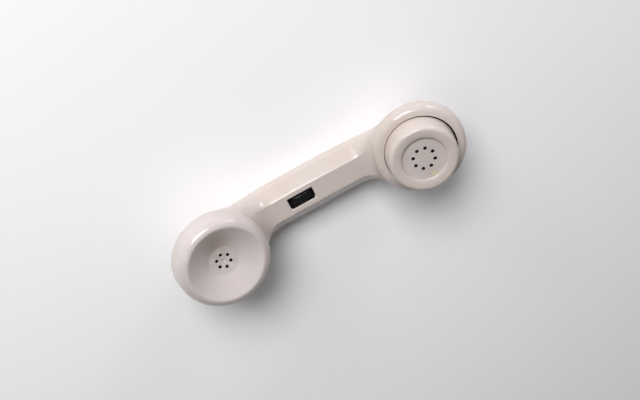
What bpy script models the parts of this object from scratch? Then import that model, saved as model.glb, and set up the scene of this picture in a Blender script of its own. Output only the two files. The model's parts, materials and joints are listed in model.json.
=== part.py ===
"""Telephone handset with a thumbwheel volume control, lying on its back.

Metres, +Z up. +X runs along the handle from the receiver, at the ear, to the
transmitter, at the mouth. The origin is on the surface that the back rests on,
under the middle of the overall length.

Each head has its own axis. A place on it is given by h, the height along that axis
above the circle where the head is widest, and r, the distance from the axis.
"""
import math

import bmesh
import bpy
from mathutils import Matrix, Vector

# Fits. A cutter runs past what it cuts, and a joined piece runs into its neighbour.
CLEARANCE = 0.0003
WALL = 0.003
CUT_OVERRUN = 0.001
JOIN_OVERLAP = 0.0004

# Handle bar
OVERALL_LENGTH = 0.2064
BAR_DEPTH = 0.023
BAR_HALF_WIDTH = 0.0156
BAR_SWELL = 0.0005
BAR_ARCH = 0.001
ARCH_HALF_LENGTH = 0.040
FLAT_HALF_WIDTH = 0.0073
RIDGE_HALF_WIDTH = 0.0103
RIDGE_DROP = 0.003
FACET_HALF_WIDTH = 0.0147
FACET_DROP = 0.008
WIDEST_DROP = 0.0105
REST_FLAT_ANGLE = 70
HEAD_SQUARENESS = 2.0
HEAD_GROWTH = 2.0
HEAD_LEAN = 0.3
NECK_FILLET_PULL = 0.55

# Threaded necks under the two screw caps
NECK_WALL = 0.0024
LEDGE_WIDTH = 0.0025

# Receiver end
RECEIVER_TILT = math.radians(7.8)
RECEIVER_HEIGHT = 0.0463
RECEIVER_FLAT_END = 0.0285
RECEIVER_NECK_SLOPE = math.radians(78)
RECEIVER_SKIRT_RADIUS = 0.0312
RECEIVER_SKIRT_DEPTH = 0.0073
RECEIVER_NECK_TOP = 0.0015
RECEIVER_LEDGE_DEPTH = 0.005
RECEIVER_CUP_DEPTH = 0.0175
EARCAP_SKIRT_WALL = 0.0028
EARCAP_TAPER = 0.0002
EARCAP_RIM_WIDTH = 0.0068
EARCAP_SHOULDER_DROP = 0.004
EARCAP_CREST_HEIGHT = 0.0065
EARCAP_LIP_WIDTH = 0.0023
EARCAP_LIP_DROP = 0.0003
EARCAP_BOWL_TOP_HEIGHT = 0.005
EARCAP_BOWL_POWER = 1.15
EARCAP_FLOOR_RADIUS = 0.0100
EARCAP_FLOOR_THICKNESS = 0.002
EARCAP_RIB_WIDTH = 0.0024
EARCAP_HOLE_COUNT = 6
EARCAP_HOLE_CIRCLE = 0.0046
EARCAP_HOLE_RADIUS = 0.0011
EARCAP_HOLE_TURN = math.radians(30)
EARCAP_DIMPLE_RADIUS = 0.0007
EARCAP_DIMPLE_DEPTH = 0.0008

# Transmitter end
TRANSMITTER_TILT = math.radians(12.8)
TRANSMITTER_HEIGHT = 0.0416
TRANSMITTER_FLAT_END = 0.0325
TRANSMITTER_NECK_SLOPE = math.radians(58)
TRANSMITTER_SKIRT_RADIUS = 0.0303
TRANSMITTER_SKIRT_DEPTH = 0.0059
TRANSMITTER_NECK_DROP = 0.002
TRANSMITTER_LEDGE_DEPTH = 0.009
TRANSMITTER_CUP_DEPTH = 0.012
RING_SKIRT_WALL = 0.0019
RING_OVERHANG = 0.0002
RING_RIM_WIDTH = 0.005
RING_SHOULDER_DROP = 0.0025
RING_CROWN = 0.0032
RING_LIP_THICKNESS = 0.0022
RING_GAP = 0.0008
HOUSING_OFFSET = 0.0004
HOUSING_FLANGE_WIDTH = 0.005
HOUSING_FLANGE_INSET = 0.0008
HOUSING_TAPER = 0.0011
HOUSING_SIDE_HEIGHT = 0.013
HOUSING_SHOULDER_WIDTH = 0.0025
HOUSING_CREST_HEIGHT = 0.0165
HOUSING_RIM_WIDTH = 0.0048
HOUSING_LIP_HEIGHT = 0.0152
HOUSING_WALL = 0.002
FACE_HEIGHT = 0.0143
FACE_THICKNESS = 0.0015
FACE_SEAT_WIDTH = 0.0015
FACE_HOLE_COUNT = 8
FACE_HOLE_CIRCLE = 0.007
FACE_HOLE_RADIUS = 0.0012
FACE_HOLE_TURN = math.radians(-23.5)

# Receiver unit
UNIT_FLANGE_THICKNESS = 0.001
UNIT_BODY_INSET = 0.001
UNIT_DEPTH = 0.0125
UNIT_SHEET = 0.0012
UNIT_BACK_HOLE_RADIUS = 0.008
GRID_THICKNESS = 0.0005
GRID_INSET = 0.001
GRID_HOLE_COUNT = 8
GRID_HOLE_CIRCLE = 0.008
GRID_HOLE_RADIUS = 0.0012
SCREEN_THICKNESS = 0.0005
DIAPHRAGM_INSET = 0.0023
DIAPHRAGM_THICKNESS = 0.0004
DIAPHRAGM_RISE = 0.0012
DIAPHRAGM_KNEE = 0.6
ARMATURE_WIDTH = 0.007
ARMATURE_THICKNESS = 0.0008
POLE_THICKNESS = 0.0012
COIL_INSET = 0.0043
COIL_WIDTH = 0.0045
MAGNET_BORE = 0.006
MAGNET_HEIGHT = 0.0045
TERMINAL_PLATE_RADIUS = 0.015
TERMINAL_PLATE_THICKNESS = 0.002
TERMINAL_SPACING = 0.008
SCREW_HEAD_RADIUS = 0.0022
SCREW_HEAD_HEIGHT = 0.0013
SCREW_SHANK_RADIUS = 0.001
VARISTOR_RADIUS = 0.003
VARISTOR_THICKNESS = 0.0015
VARISTOR_PLACE = 0.009

# Microphone unit
BOOT_RADIUS = 0.0119
BOOT_HEIGHT = 0.0092
MICROPHONE_HEIGHT = 0.0096
MICROPHONE_SHEET = 0.0008
BACKPLATE_THICKNESS = 0.003
FILM_THICKNESS = 0.0004
DISC_BOARD_THICKNESS = 0.0012
CONTACT_RING_RADIUS = 0.0045
CONTACT_RING_WIDTH = 0.003
CONTACT_RING_THICKNESS = 0.0005
CONTACT_RING_EDGE = 0.0025
CUP_WALL = 0.0015
CUP_SCREW_LENGTH = 0.003
SPRING_FOOT_PLACE = 0.006
SPRING_FOOT_HALF = 0.0026
SPRING_WIDTH = 0.003
SPRING_THICKNESS = 0.0004
SPRING_LENGTH = 0.007
SPRING_TIP = 0.0015

# Volume control
SLOT_X = -0.0088
SLOT_LENGTH = 0.0184
SLOT_WIDTH = 0.0082
SLOT_CORNER = 0.0006
WHEEL_RADIUS = 0.010
WHEEL_WIDTH = 0.0056
WHEEL_PROUD = 0.001
WHEEL_RIBS = 36
WHEEL_RIB_HEIGHT = 0.0004
SHAFT_RADIUS = 0.0016
CHEEK_THICKNESS = 0.0006
CHEEK_FOOT_THICKNESS = 0.0012
CHEEK_LENGTH = 0.0164
CHEEK_DEPTH = 0.009
CHASSIS_THICKNESS = 0.0012
CHASSIS_HALF_WIDTH = 0.0056
CHASSIS_MARGIN = 0.003
CHASSIS_END = 0.034
POT_RADIUS = 0.0042
POT_THICKNESS = 0.0026
POT_PIN_COUNT = 3
POT_PIN_SIZE = 0.0006
POT_PIN_PITCH = 0.0009
POT_PIN_EDGE = 0.0004
POT_PIN_ROOT = 0.001
POT_PIN_REACH = 0.003
BOARD_START = 0.0035
BOARD_LENGTH = 0.036
BOARD_WIDTH = 0.021
BOARD_THICKNESS = 0.0016
BOSS_RADIUS = 0.0022
BOSS_HEIGHT = 0.0048
BOSS_PLACES = (0.009, 0.030)
BOARD_SCREW_RADIUS = 0.0009
BOARD_SCREW_BITE = 0.0025
CHIP_LENGTH = 0.0096
CHIP_WIDTH = 0.0063
CHIP_HEIGHT = 0.0032
CHIP_PLACE = 0.0028
CAPACITOR_RADIUS = 0.0028
CAPACITOR_HEIGHT = 0.0062
CAPACITOR_SPACING = 0.008
CAPACITOR_PLACE = -0.0052
RESISTOR_RADIUS = 0.0011
RESISTOR_LENGTH = 0.0062
RESISTOR_INSET = 0.003
RESISTOR_PLACE = -0.0064

# Cord jack in the transmitter end
JACK_HEIGHT = 0.027
JACK_PITCH = math.radians(12)
JACK_WIDTH = 0.0098
JACK_TALL = 0.0094
JACK_LENGTH = 0.011
JACK_RECESS = 0.0004
SOCKET_WIDTH = 0.0078
SOCKET_TALL = 0.0066
SOCKET_DEPTH = 0.0095
LATCH_WIDTH = 0.0034
LATCH_TALL = 0.0012
JACK_CONTACT_COUNT = 4
JACK_CONTACT_PITCH = 0.00127
JACK_CONTACT_SIZE = 0.0005
JACK_CONTACT_START = 0.002

# Leads. Each starts under the board, at its inset from the board's end, and passes
# through points chosen by hand. Their y is mirrored, or shared out, for each lead.
LEAD_RADIUS = 0.0006
RECEIVER_LEAD_INSET = 0.002
RECEIVER_LEAD_SIDE = 0.0092
RECEIVER_LEAD_ROUTE = [(-0.006, 0.0092, 0.0088), (-0.024, 0.0080, 0.0075), (-0.052, 0.006, 0.016)]
TRANSMITTER_LEAD_INSET = 0.002
TRANSMITTER_LEAD_SIDE = 0.0087
TRANSMITTER_LEAD_ROUTE = [(0.0455, 0.0084, 0.0125)]
TRANSMITTER_LEAD_DIP = (-0.012, 0, -0.010)
JACK_LEAD_INSET = 0.004
JACK_LEAD_DROP = 0.0009
JACK_LEAD_PITCH = 0.00254
JACK_LEAD_ROUTE = [(0.0455, 1.6, 0.0075), (0.062, 1.3, 0.0125)]
JACK_LEAD_RISE = 0.002
JACK_LEAD_TAIL = 0.008

# Radii that follow from the sizes above
EARCAP_RADIUS = RECEIVER_SKIRT_RADIUS - EARCAP_TAPER
EARCAP_CREST_RADIUS = EARCAP_RADIUS - EARCAP_RIM_WIDTH
EARCAP_BOWL_TOP_RADIUS = EARCAP_CREST_RADIUS - EARCAP_LIP_WIDTH
RING_RADIUS = TRANSMITTER_SKIRT_RADIUS + RING_OVERHANG

# Colour, roughness and metallic value of each material
FINISHES = {
    "moulded_plastic": ((0.62, 0.50, 0.44, 1), 0.25, 0),
    "face_plastic": ((0.50, 0.42, 0.40, 1), 0.35, 0),
    "black_plastic": ((0.012, 0.012, 0.013, 1), 0.4, 0),
    "plated_steel": ((0.55, 0.55, 0.56, 1), 0.35, 1),
    "brass": ((0.68, 0.50, 0.22, 1), 0.35, 1),
    "magnet": ((0.10, 0.10, 0.11, 1), 0.4, 1),
    "copper_winding": ((0.62, 0.27, 0.13, 1), 0.4, 1),
    "phenolic": ((0.10, 0.05, 0.03, 1), 0.5, 0),
    "circuit_board": ((0.03, 0.18, 0.07, 1), 0.4, 0),
    "screen_cloth": ((0.05, 0.05, 0.05, 1), 0.9, 0),
    "boot_rubber": ((0.03, 0.03, 0.03, 1), 0.8, 0),
    "film": ((0.75, 0.75, 0.70, 1), 0.3, 0),
    "varistor_body": ((0.30, 0.08, 0.03, 1), 0.6, 0),
    "pot_case": ((0.20, 0.22, 0.24, 1), 0.35, 0.6),
    "capacitor_sleeve": ((0.02, 0.04, 0.16, 1), 0.35, 0),
    "component_body": ((0.55, 0.40, 0.22, 1), 0.5, 0),
    "red_insulation": ((0.45, 0.02, 0.02, 1), 0.5, 0),
    "white_insulation": ((0.75, 0.75, 0.72, 1), 0.5, 0),
    "black_insulation": ((0.012, 0.012, 0.013, 1), 0.5, 0),
    "yellow_insulation": ((0.70, 0.55, 0.05, 1), 0.5, 0),
    "green_insulation": ((0.02, 0.30, 0.08, 1), 0.5, 0),
}


def clear_scene():
    for thing in list(bpy.data.objects):
        bpy.data.objects.remove(thing, do_unlink=True)


def material(name):
    colour, roughness, metallic = FINISHES[name]
    made = bpy.data.materials.get(name) or bpy.data.materials.new(name)
    made.use_nodes = True
    shader = made.node_tree.nodes["Principled BSDF"]
    shader.inputs["Base Color"].default_value = colour
    shader.inputs["Roughness"].default_value = roughness
    shader.inputs["Metallic"].default_value = metallic
    return made


def add_object(name, mesh, parent=None, finish=None, place=None):
    """Add an object of a mesh, a curve or nothing, with the material called finish."""
    piece = bpy.data.objects.new(name, mesh)
    bpy.context.scene.collection.objects.link(piece)
    if finish:
        mesh.materials.append(material(finish))
    if parent:
        piece.parent = parent
    if place:
        piece.matrix_local = place
    return piece


def close_mesh(name, shape, smooth=True):
    """Turn a closed bmesh into a mesh with its faces pointing out."""
    bmesh.ops.recalc_face_normals(shape, faces=shape.faces)
    mesh = bpy.data.meshes.new(name)
    shape.to_mesh(mesh)
    shape.free()
    if smooth:
        mesh.shade_smooth()
        mesh.set_sharp_from_angle(angle=math.radians(32))
    return mesh


def turned_mesh(name, outline, sides=24):
    """Turn a closed outline of (r, h) points about Z. Points on the axis become poles."""
    shape = bmesh.new()
    rings = []
    for r, h in outline:
        if r == 0:
            rings.append([shape.verts.new((0, 0, h))])
            continue
        turn = [math.tau * k / sides for k in range(sides)]
        rings.append([shape.verts.new((r * math.cos(a), r * math.sin(a), h)) for a in turn])
    for ring, following in zip(rings, rings[1:] + rings[:1]):
        if len(ring) == 1 and len(following) == 1:
            continue
        for k in range(sides):
            corners = [ring[k % len(ring)], ring[(k + 1) % len(ring)]]
            corners += [following[(k + 1) % len(following)], following[k % len(following)]]
            shape.faces.new(list(dict.fromkeys(corners)))
    return close_mesh(name, shape)


def turned(name, outline, parent, finish, sides=24, place=None):
    return add_object(name, turned_mesh(name, outline, sides), parent, finish, place)


def disc_outline(radius, top, thickness):
    return [(0, top), (radius, top), (radius, top - thickness), (0, top - thickness)]


def ring_outline(inner, outer, top, thickness):
    low = top - thickness
    return [(inner, top), (outer, top), (outer, low), (inner, low)]


def box_mesh(name, low, high, corner=0.0):
    """A box between two corners, with its upright edges rounded by corner."""
    shape = bmesh.new()
    bmesh.ops.create_cube(shape, size=1)
    size = [b - a for a, b in zip(low, high)]
    middle = [(a + b) / 2 for a, b in zip(low, high)]
    bmesh.ops.scale(shape, vec=size, verts=shape.verts)
    bmesh.ops.translate(shape, vec=middle, verts=shape.verts)
    if corner:
        uprights = [e for e in shape.edges if abs(e.verts[0].co.z - e.verts[1].co.z) > size[2] / 2]
        bmesh.ops.bevel(shape, geom=uprights, offset=corner, segments=2, profile=0.5, affect="EDGES")
    return close_mesh(name, shape, smooth=False)


def box(name, low, high, parent=None, finish=None, corner=0.0):
    return add_object(name, box_mesh(name, low, high, corner), parent, finish)


def holes_mesh(name, places, radius, low, high, sides=12):
    """Upright pins at the places, to cut holes with."""
    shape = bmesh.new()
    for x, y in places:
        bmesh.ops.create_cone(
            shape, cap_ends=True, segments=sides, radius1=radius, radius2=radius,
            depth=high - low, matrix=Matrix.Translation((x, y, (high + low) / 2)))
    return close_mesh(name, shape)


def combine(piece, tool, operation="DIFFERENCE"):
    """Cut the tool from the piece, or join it on, and leave the tool as a guide."""
    tool.hide_render = True
    tool.display_type = "WIRE"
    step = piece.modifiers.new(tool.name, "BOOLEAN")
    step.operation = operation
    step.solver = "EXACT"
    step.object = tool


def circle_places(count, radius, turn):
    steps = [turn + math.tau * k / count for k in range(count)]
    return [(radius * math.cos(a), radius * math.sin(a)) for a in steps]


class Head:
    """One end of the handle, in a side view with u outwards along the handle and v up."""

    def __init__(self, side, tilt, height, flat_end, slope, skirt_radius, skirt_depth,
                 cap_wall, neck_top, ledge_depth, cup_depth):
        self.side = side
        self.tilt = tilt
        self.height = height
        self.flat_end = flat_end
        self.slope = slope
        self.skirt_radius = skirt_radius
        self.skirt_depth = skirt_depth
        self.neck_radius = skirt_radius - cap_wall
        self.bore_radius = self.neck_radius - NECK_WALL
        self.ledge_radius = self.bore_radius - LEDGE_WIDTH
        self.neck_top = neck_top
        self.ledge_depth = ledge_depth
        self.cup_depth = cup_depth
        reach = skirt_radius * math.cos(tilt) + skirt_depth * math.sin(tilt)
        self.centre = OVERALL_LENGTH / 2 - reach

    def point(self, h, r):
        """The point at height h and distance r on the far side of the head's axis."""
        u = self.centre - h * math.sin(self.tilt) + r * math.cos(self.tilt)
        v = self.height + h * math.cos(self.tilt) + r * math.sin(self.tilt)
        return Vector((u, v))

    def empty(self, name):
        """An empty on the head's axis, with its Z along it, which carries the head's pieces."""
        holder = add_object(name, None)
        holder.location = (self.side * self.centre, 0, self.height)
        holder.rotation_euler = (0, -self.side * self.tilt, 0)
        return holder


RECEIVER = Head(-1, RECEIVER_TILT, RECEIVER_HEIGHT, RECEIVER_FLAT_END, RECEIVER_NECK_SLOPE,
                RECEIVER_SKIRT_RADIUS, RECEIVER_SKIRT_DEPTH, EARCAP_SKIRT_WALL,
                RECEIVER_NECK_TOP, RECEIVER_LEDGE_DEPTH, RECEIVER_CUP_DEPTH)
TRANSMITTER = Head(1, TRANSMITTER_TILT, TRANSMITTER_HEIGHT, TRANSMITTER_FLAT_END,
                   TRANSMITTER_NECK_SLOPE, TRANSMITTER_SKIRT_RADIUS, TRANSMITTER_SKIRT_DEPTH,
                   RING_SKIRT_WALL, -TRANSMITTER_NECK_DROP, TRANSMITTER_LEDGE_DEPTH,
                   TRANSMITTER_CUP_DEPTH)

# The handle's section. Its angles run from the inner flat, over the side, to the back.
SECTION_ANGLES = [90, 77, 64, 52, 38, 24, 12, 0, -12, -24, -36, -48, -59, -REST_FLAT_ANGLE, -80, -90]
SECTION_CORNERS = [
    (90, 0, 0),
    (64, FLAT_HALF_WIDTH, 0),
    (52, RIDGE_HALF_WIDTH, RIDGE_DROP),
    (24, FACET_HALF_WIDTH, FACET_DROP),
    (0, BAR_HALF_WIDTH, WIDEST_DROP),
]


def bar_section(angle):
    """Half-width and depth of the bar at an angle, each from -1 to 1."""
    middle = 2 * WIDEST_DROP / BAR_DEPTH - 1
    if angle < 0:
        down = math.sin(math.radians(angle)) / math.sin(math.radians(-REST_FLAT_ANGLE))
        return math.cos(math.radians(angle)), middle + (1 - middle) * min(1, down)
    for (a0, w0, d0), (a1, w1, d1) in zip(SECTION_CORNERS, SECTION_CORNERS[1:]):
        if a1 <= angle <= a0:
            share = (a0 - angle) / (a0 - a1)
            width = w0 + (w1 - w0) * share
            depth = d0 + (d1 - d0) * share
            return width / BAR_HALF_WIDTH, 2 * depth / BAR_DEPTH - 1


def section_ring(inner, outer, half_width, roundness, side, lean=0):
    """Points around one section, between its inner and outer middles in the side view.

    The roundness turns the bar's section into a circle, and the lean moves the widest
    place to the inner side, so that the section is egg-shaped.
    """
    half = []
    for angle in SECTION_ANGLES:
        across, down = bar_section(angle)
        across += (math.cos(math.radians(angle)) - across) * roundness
        down += (-math.sin(math.radians(angle)) - down) * roundness
        down -= lean * (1 - down * down)
        place = inner.lerp(outer, (1 + down) / 2)
        half.append((side * place.x, across * half_width, place.y))
    return half + [(x, -y, z) for x, y, z in half[-2:0:-1]]


def ease(t):
    return t * t * (3 - 2 * t)


def flat_height(x):
    return BAR_DEPTH + BAR_ARCH * (x / ARCH_HALF_LENGTH) ** 2


def bar_width(x):
    return BAR_HALF_WIDTH + BAR_SWELL * (1 - (x / ARCH_HALF_LENGTH) ** 2)


def bar_ring(x, wall):
    inner = Vector((x, flat_height(x) - wall))
    outer = Vector((x, wall))
    return section_ring(inner, outer, bar_width(x) - wall, 0, 1)


def back_curve(head, wall, end, t):
    """The back's side view, from under the flat's end to the far edge of the head."""
    turn = math.radians(90) * t
    power = 2 / HEAD_SQUARENESS
    u = head.flat_end + (end.x - head.flat_end) * math.sin(turn) ** power
    rise = 1 - max(0, math.cos(turn)) ** power
    return Vector((u, wall + (end.y - wall) * rise))


def neck_curve(head, wall, end, t):
    """The inner side of the neck, a fillet from the flat's end up to the head."""
    start = Vector((head.flat_end, flat_height(head.flat_end) - wall))
    corner = Vector((end.x - (end.y - start.y) / math.tan(head.slope), start.y))
    first = start.lerp(corner, NECK_FILLET_PULL)
    second = end.lerp(corner, NECK_FILLET_PULL)
    s = 1 - t
    return s ** 3 * start + 3 * s * s * t * first + 3 * s * t * t * second + t ** 3 * end


def head_rings(head, wall, h, radius, steps):
    """Sections that turn from the bar's end to the circle of the given radius at h."""
    near = head.point(h, -radius)
    far = head.point(h, radius)
    start_width = bar_width(head.flat_end) - wall
    rings = []
    for k in range(1, steps + 1):
        t = k / steps
        inner = neck_curve(head, wall, near, t)
        outer = back_curve(head, wall, far, t)
        width = start_width + (radius - start_width) * t ** HEAD_GROWTH
        lean = HEAD_LEAN * math.sin(math.pi * t)
        rings.append(section_ring(inner, outer, width, ease(t), head.side, lean))
    return rings


def round_ring(head, h, radius):
    return section_ring(head.point(h, -radius), head.point(h, radius), radius, 1, head.side)


def bar_stations(count):
    span = RECEIVER.flat_end + TRANSMITTER.flat_end
    return [-RECEIVER.flat_end + span * k / (count - 1) for k in range(count)]


def handle_rings():
    """Rings of the whole skin: out along the back of the receiver and home through the bore."""
    r, t = RECEIVER, TRANSMITTER
    outside = head_rings(r, 0, -r.skirt_depth, r.skirt_radius, 9)[::-1]
    outside += [bar_ring(x, 0) for x in bar_stations(6)]
    outside += head_rings(t, 0, -t.skirt_depth, t.skirt_radius, 9)
    inside = [round_ring(t, -t.ledge_depth, t.ledge_radius)]
    inside += head_rings(t, WALL, -t.cup_depth, t.ledge_radius, 6)[::-1]
    inside += [bar_ring(x, WALL) for x in bar_stations(3)[::-1]]
    inside += head_rings(r, WALL, -r.cup_depth, r.ledge_radius, 6)
    inside.append(round_ring(r, -r.ledge_depth, r.ledge_radius))
    rings = [round_ring(r, r.neck_top, r.neck_radius), round_ring(r, -r.skirt_depth, r.neck_radius)]
    rings += outside
    rings += [round_ring(t, -t.skirt_depth, t.neck_radius), round_ring(t, t.neck_top, t.neck_radius)]
    rings += [round_ring(t, t.neck_top, t.bore_radius), round_ring(t, -t.ledge_depth, t.bore_radius)]
    rings += inside
    rings += [round_ring(r, -r.ledge_depth, r.bore_radius), round_ring(r, r.neck_top, r.bore_radius)]
    return rings


def make_handle():
    shape = bmesh.new()
    rings = [[shape.verts.new(co) for co in ring] for ring in handle_rings()]
    for ring, following in zip(rings, rings[1:] + rings[:1]):
        for k in range(len(ring)):
            j = (k + 1) % len(ring)
            shape.faces.new((ring[k], ring[j], following[j], following[k]))
    handle = add_object("handle", close_mesh("handle", shape), finish="moulded_plastic")
    top = flat_height(SLOT_X)
    half = SLOT_LENGTH / 2
    slot = box("slot_cutter", (SLOT_X - half, -SLOT_WIDTH / 2, top - 2 * WALL),
               (SLOT_X + half, SLOT_WIDTH / 2, top + WALL), corner=SLOT_CORNER)
    combine(handle, slot)
    gap = CLEARANCE
    pocket = box("jack_pocket_cutter", (-JACK_TALL / 2 - gap, -JACK_WIDTH / 2 - gap, -JACK_LENGTH),
                 (JACK_TALL / 2 + gap, JACK_WIDTH / 2 + gap, JACK_LENGTH), JACK)
    combine(handle, pocket)


def jack_empty():
    """An empty on the jack's axis, with its Z pointing out of the socket.

    It lies in the plane through the place where the jack's lower edge meets the skin.
    """
    far = TRANSMITTER.point(-TRANSMITTER.skirt_depth, TRANSMITTER.skirt_radius)
    half = JACK_TALL / 2
    drop = 1 - (JACK_HEIGHT - half * math.cos(JACK_PITCH)) / far.y
    reach = (1 - drop ** HEAD_SQUARENESS) ** (1 / HEAD_SQUARENESS)
    holder = add_object("jack_frame", None)
    start = TRANSMITTER.flat_end
    edge = start + (far.x - start) * reach
    holder.location = (edge + half * math.sin(JACK_PITCH), 0, JACK_HEIGHT)
    holder.rotation_euler = (0, math.radians(90) + JACK_PITCH, 0)
    return holder


def quarter(r, h, wide, tall, start, end, steps):
    """Outline points on an ellipse about (r, h), from one angle to another, in degrees."""
    turn = [math.radians(start + (end - start) * k / steps) for k in range(steps + 1)]
    return [(r + wide * math.cos(a), h + tall * math.sin(a)) for a in turn]


def make_receiver_cap(parent):
    """The screw-on ear cap, with its rim, its bowl and its pierced floor."""
    crest, mouth = EARCAP_CREST_RADIUS, EARCAP_BOWL_TOP_RADIUS
    floor = EARCAP_FLOOR_THICKNESS
    inner = RECEIVER.neck_radius + CLEARANCE
    ceiling = RECEIVER_NECK_TOP + CLEARANCE
    skirt = -RECEIVER_SKIRT_DEPTH + CLEARANCE
    unit_top = -RECEIVER_LEDGE_DEPTH + UNIT_FLANGE_THICKNESS + GRID_THICKNESS + 3 * CLEARANCE
    outline = [(0, -EARCAP_DIMPLE_DEPTH), (EARCAP_DIMPLE_RADIUS, 0), (EARCAP_FLOOR_RADIUS, 0)]
    bowl_steps = 3
    for k in range(1, bowl_steps + 1):
        share = k / bowl_steps
        r = EARCAP_FLOOR_RADIUS + (mouth - EARCAP_FLOOR_RADIUS) * share
        outline.append((r, EARCAP_BOWL_TOP_HEIGHT * share ** EARCAP_BOWL_POWER))
    outline.append(((crest + mouth) / 2, EARCAP_CREST_HEIGHT - EARCAP_LIP_DROP))
    outline += quarter(crest, -EARCAP_SHOULDER_DROP, EARCAP_RADIUS - crest,
                       EARCAP_CREST_HEIGHT + EARCAP_SHOULDER_DROP, 90, 0, 4)
    outline += [(RECEIVER_SKIRT_RADIUS, skirt), (inner, skirt), (inner, ceiling)]
    rib_outer = RECEIVER.bore_radius - CLEARANCE
    rib_inner = rib_outer - EARCAP_RIB_WIDTH
    outline += [(rib_outer, ceiling), (rib_outer, unit_top), (rib_inner, unit_top)]
    outline += [(rib_inner, EARCAP_BOWL_TOP_HEIGHT - 2 * floor)]
    outline += [(EARCAP_FLOOR_RADIUS, -floor), (0, -floor)]
    cap = turned("receiver_cap", outline, parent, "moulded_plastic", 44)
    places = circle_places(EARCAP_HOLE_COUNT, EARCAP_HOLE_CIRCLE, EARCAP_HOLE_TURN)
    holes = add_object("earcap_hole_cutter", holes_mesh(
        "earcap_hole_cutter", places, EARCAP_HOLE_RADIUS, -2 * floor, floor), parent)
    combine(cap, holes)


def make_receiver_unit(parent):
    """The capsule that rests on the ledge in the receiver bore, from its grid to its screws."""
    gap = CLEARANCE
    rim = RECEIVER.bore_radius - 2 * gap
    flange = -RECEIVER_LEDGE_DEPTH + gap
    top = flange + UNIT_FLANGE_THICKNESS
    bottom = top - UNIT_DEPTH
    body, sheet = RECEIVER.ledge_radius - UNIT_BODY_INSET, UNIT_SHEET
    turned("receiver_case", [
        (rim, top), (rim, flange), (body, flange), (body, bottom),
        (UNIT_BACK_HOLE_RADIUS, bottom), (UNIT_BACK_HOLE_RADIUS, bottom + sheet),
        (body - sheet, bottom + sheet), (body - sheet, top)], parent, "plated_steel", 32)
    grid_top = top + gap + GRID_THICKNESS
    grid = turned("receiver_grid", disc_outline(rim - GRID_INSET, grid_top, GRID_THICKNESS),
                  parent, "plated_steel", 32)
    places = circle_places(GRID_HOLE_COUNT, GRID_HOLE_CIRCLE, 0)
    combine(grid, add_object("grid_hole_cutter", holes_mesh(
        "grid_hole_cutter", places, GRID_HOLE_RADIUS, top - gap, grid_top + gap, 8), parent))
    turned("receiver_screen", disc_outline(
        EARCAP_FLOOR_RADIUS, -EARCAP_FLOOR_THICKNESS - gap, SCREEN_THICKNESS), parent,
        "screen_cloth")
    seat = bottom + sheet + gap
    inside = body - sheet - gap
    coil = body - sheet - COIL_INSET
    magnet = coil - COIL_WIDTH
    magnet_top = seat + MAGNET_HEIGHT
    turned("receiver_magnet", ring_outline(MAGNET_BORE, magnet, magnet_top, MAGNET_HEIGHT),
           parent, "magnet")
    turned("receiver_coil", ring_outline(magnet + gap, coil, magnet_top, MAGNET_HEIGHT), parent,
           "copper_winding", 28)
    pole_top = magnet_top + gap + POLE_THICKNESS
    turned("receiver_pole_ring", ring_outline(MAGNET_BORE, inside, pole_top, POLE_THICKNESS),
           parent, "plated_steel", 28)
    ring_top = pole_top + gap + ARMATURE_THICKNESS
    turned("receiver_armature", ring_outline(inside - ARMATURE_WIDTH, inside, ring_top,
                                             ARMATURE_THICKNESS), parent, "plated_steel", 28)
    low = ring_top + gap
    dome = low + DIAPHRAGM_RISE
    thick = DIAPHRAGM_THICKNESS
    edge = body - sheet - DIAPHRAGM_INSET
    knee = dome + (low + thick - dome) * DIAPHRAGM_KNEE
    turned("receiver_diaphragm", [
        (0, dome), (edge * DIAPHRAGM_KNEE, knee), (edge, low + thick), (edge, low),
        (edge * DIAPHRAGM_KNEE, knee - thick), (0, dome - thick)], parent, "phenolic")
    plate_top = bottom - gap
    plate_low = plate_top - TERMINAL_PLATE_THICKNESS
    plate = turned("receiver_terminal_plate", disc_outline(
        TERMINAL_PLATE_RADIUS, plate_top, TERMINAL_PLATE_THICKNESS), parent, "phenolic", 28)
    ends = [(0, -TERMINAL_SPACING / 2), (0, TERMINAL_SPACING / 2)]
    combine(plate, add_object("terminal_hole_cutter", holes_mesh(
        "terminal_hole_cutter", ends, SCREW_SHANK_RADIUS + gap, plate_low - gap,
        plate_top + gap), parent))
    for number, (x, y) in enumerate(ends, 1):
        screw(f"receiver_terminal_screw_{number}", (x, y, plate_low - gap), parent, "brass",
              TERMINAL_PLATE_THICKNESS)
    turned("receiver_varistor", disc_outline(VARISTOR_RADIUS, plate_low - gap,
                                             VARISTOR_THICKNESS), parent, "varistor_body",
           place=Matrix.Translation((VARISTOR_PLACE, 0, 0)))
    return plate_low


def screw(name, seat, parent, finish, length, up=True, shank=SCREW_SHANK_RADIUS):
    """A cheese-headed screw. Its head lies under the seat and its shank goes up, or turned over."""
    head, height = SCREW_HEAD_RADIUS, SCREW_HEAD_HEIGHT
    outline = [(0, length), (shank, length), (shank, 0), (head, 0), (head, -height), (0, -height)]
    if not up:
        outline = [(r, -h) for r, h in outline]
    return turned(name, outline, parent, finish, 12, Matrix.Translation(seat))


def housing_base_radius():
    return TRANSMITTER.neck_radius - HOUSING_FLANGE_WIDTH


def housing_top_radius():
    return housing_base_radius() - HOUSING_TAPER


def housing_crest_radius():
    return housing_top_radius() - HOUSING_SHOULDER_WIDTH


def face_radius():
    return housing_crest_radius() - HOUSING_RIM_WIDTH - CLEARANCE


def housing_room():
    """The largest radius that fits inside the housing."""
    return housing_top_radius() - HOUSING_WALL - CLEARANCE


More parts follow.
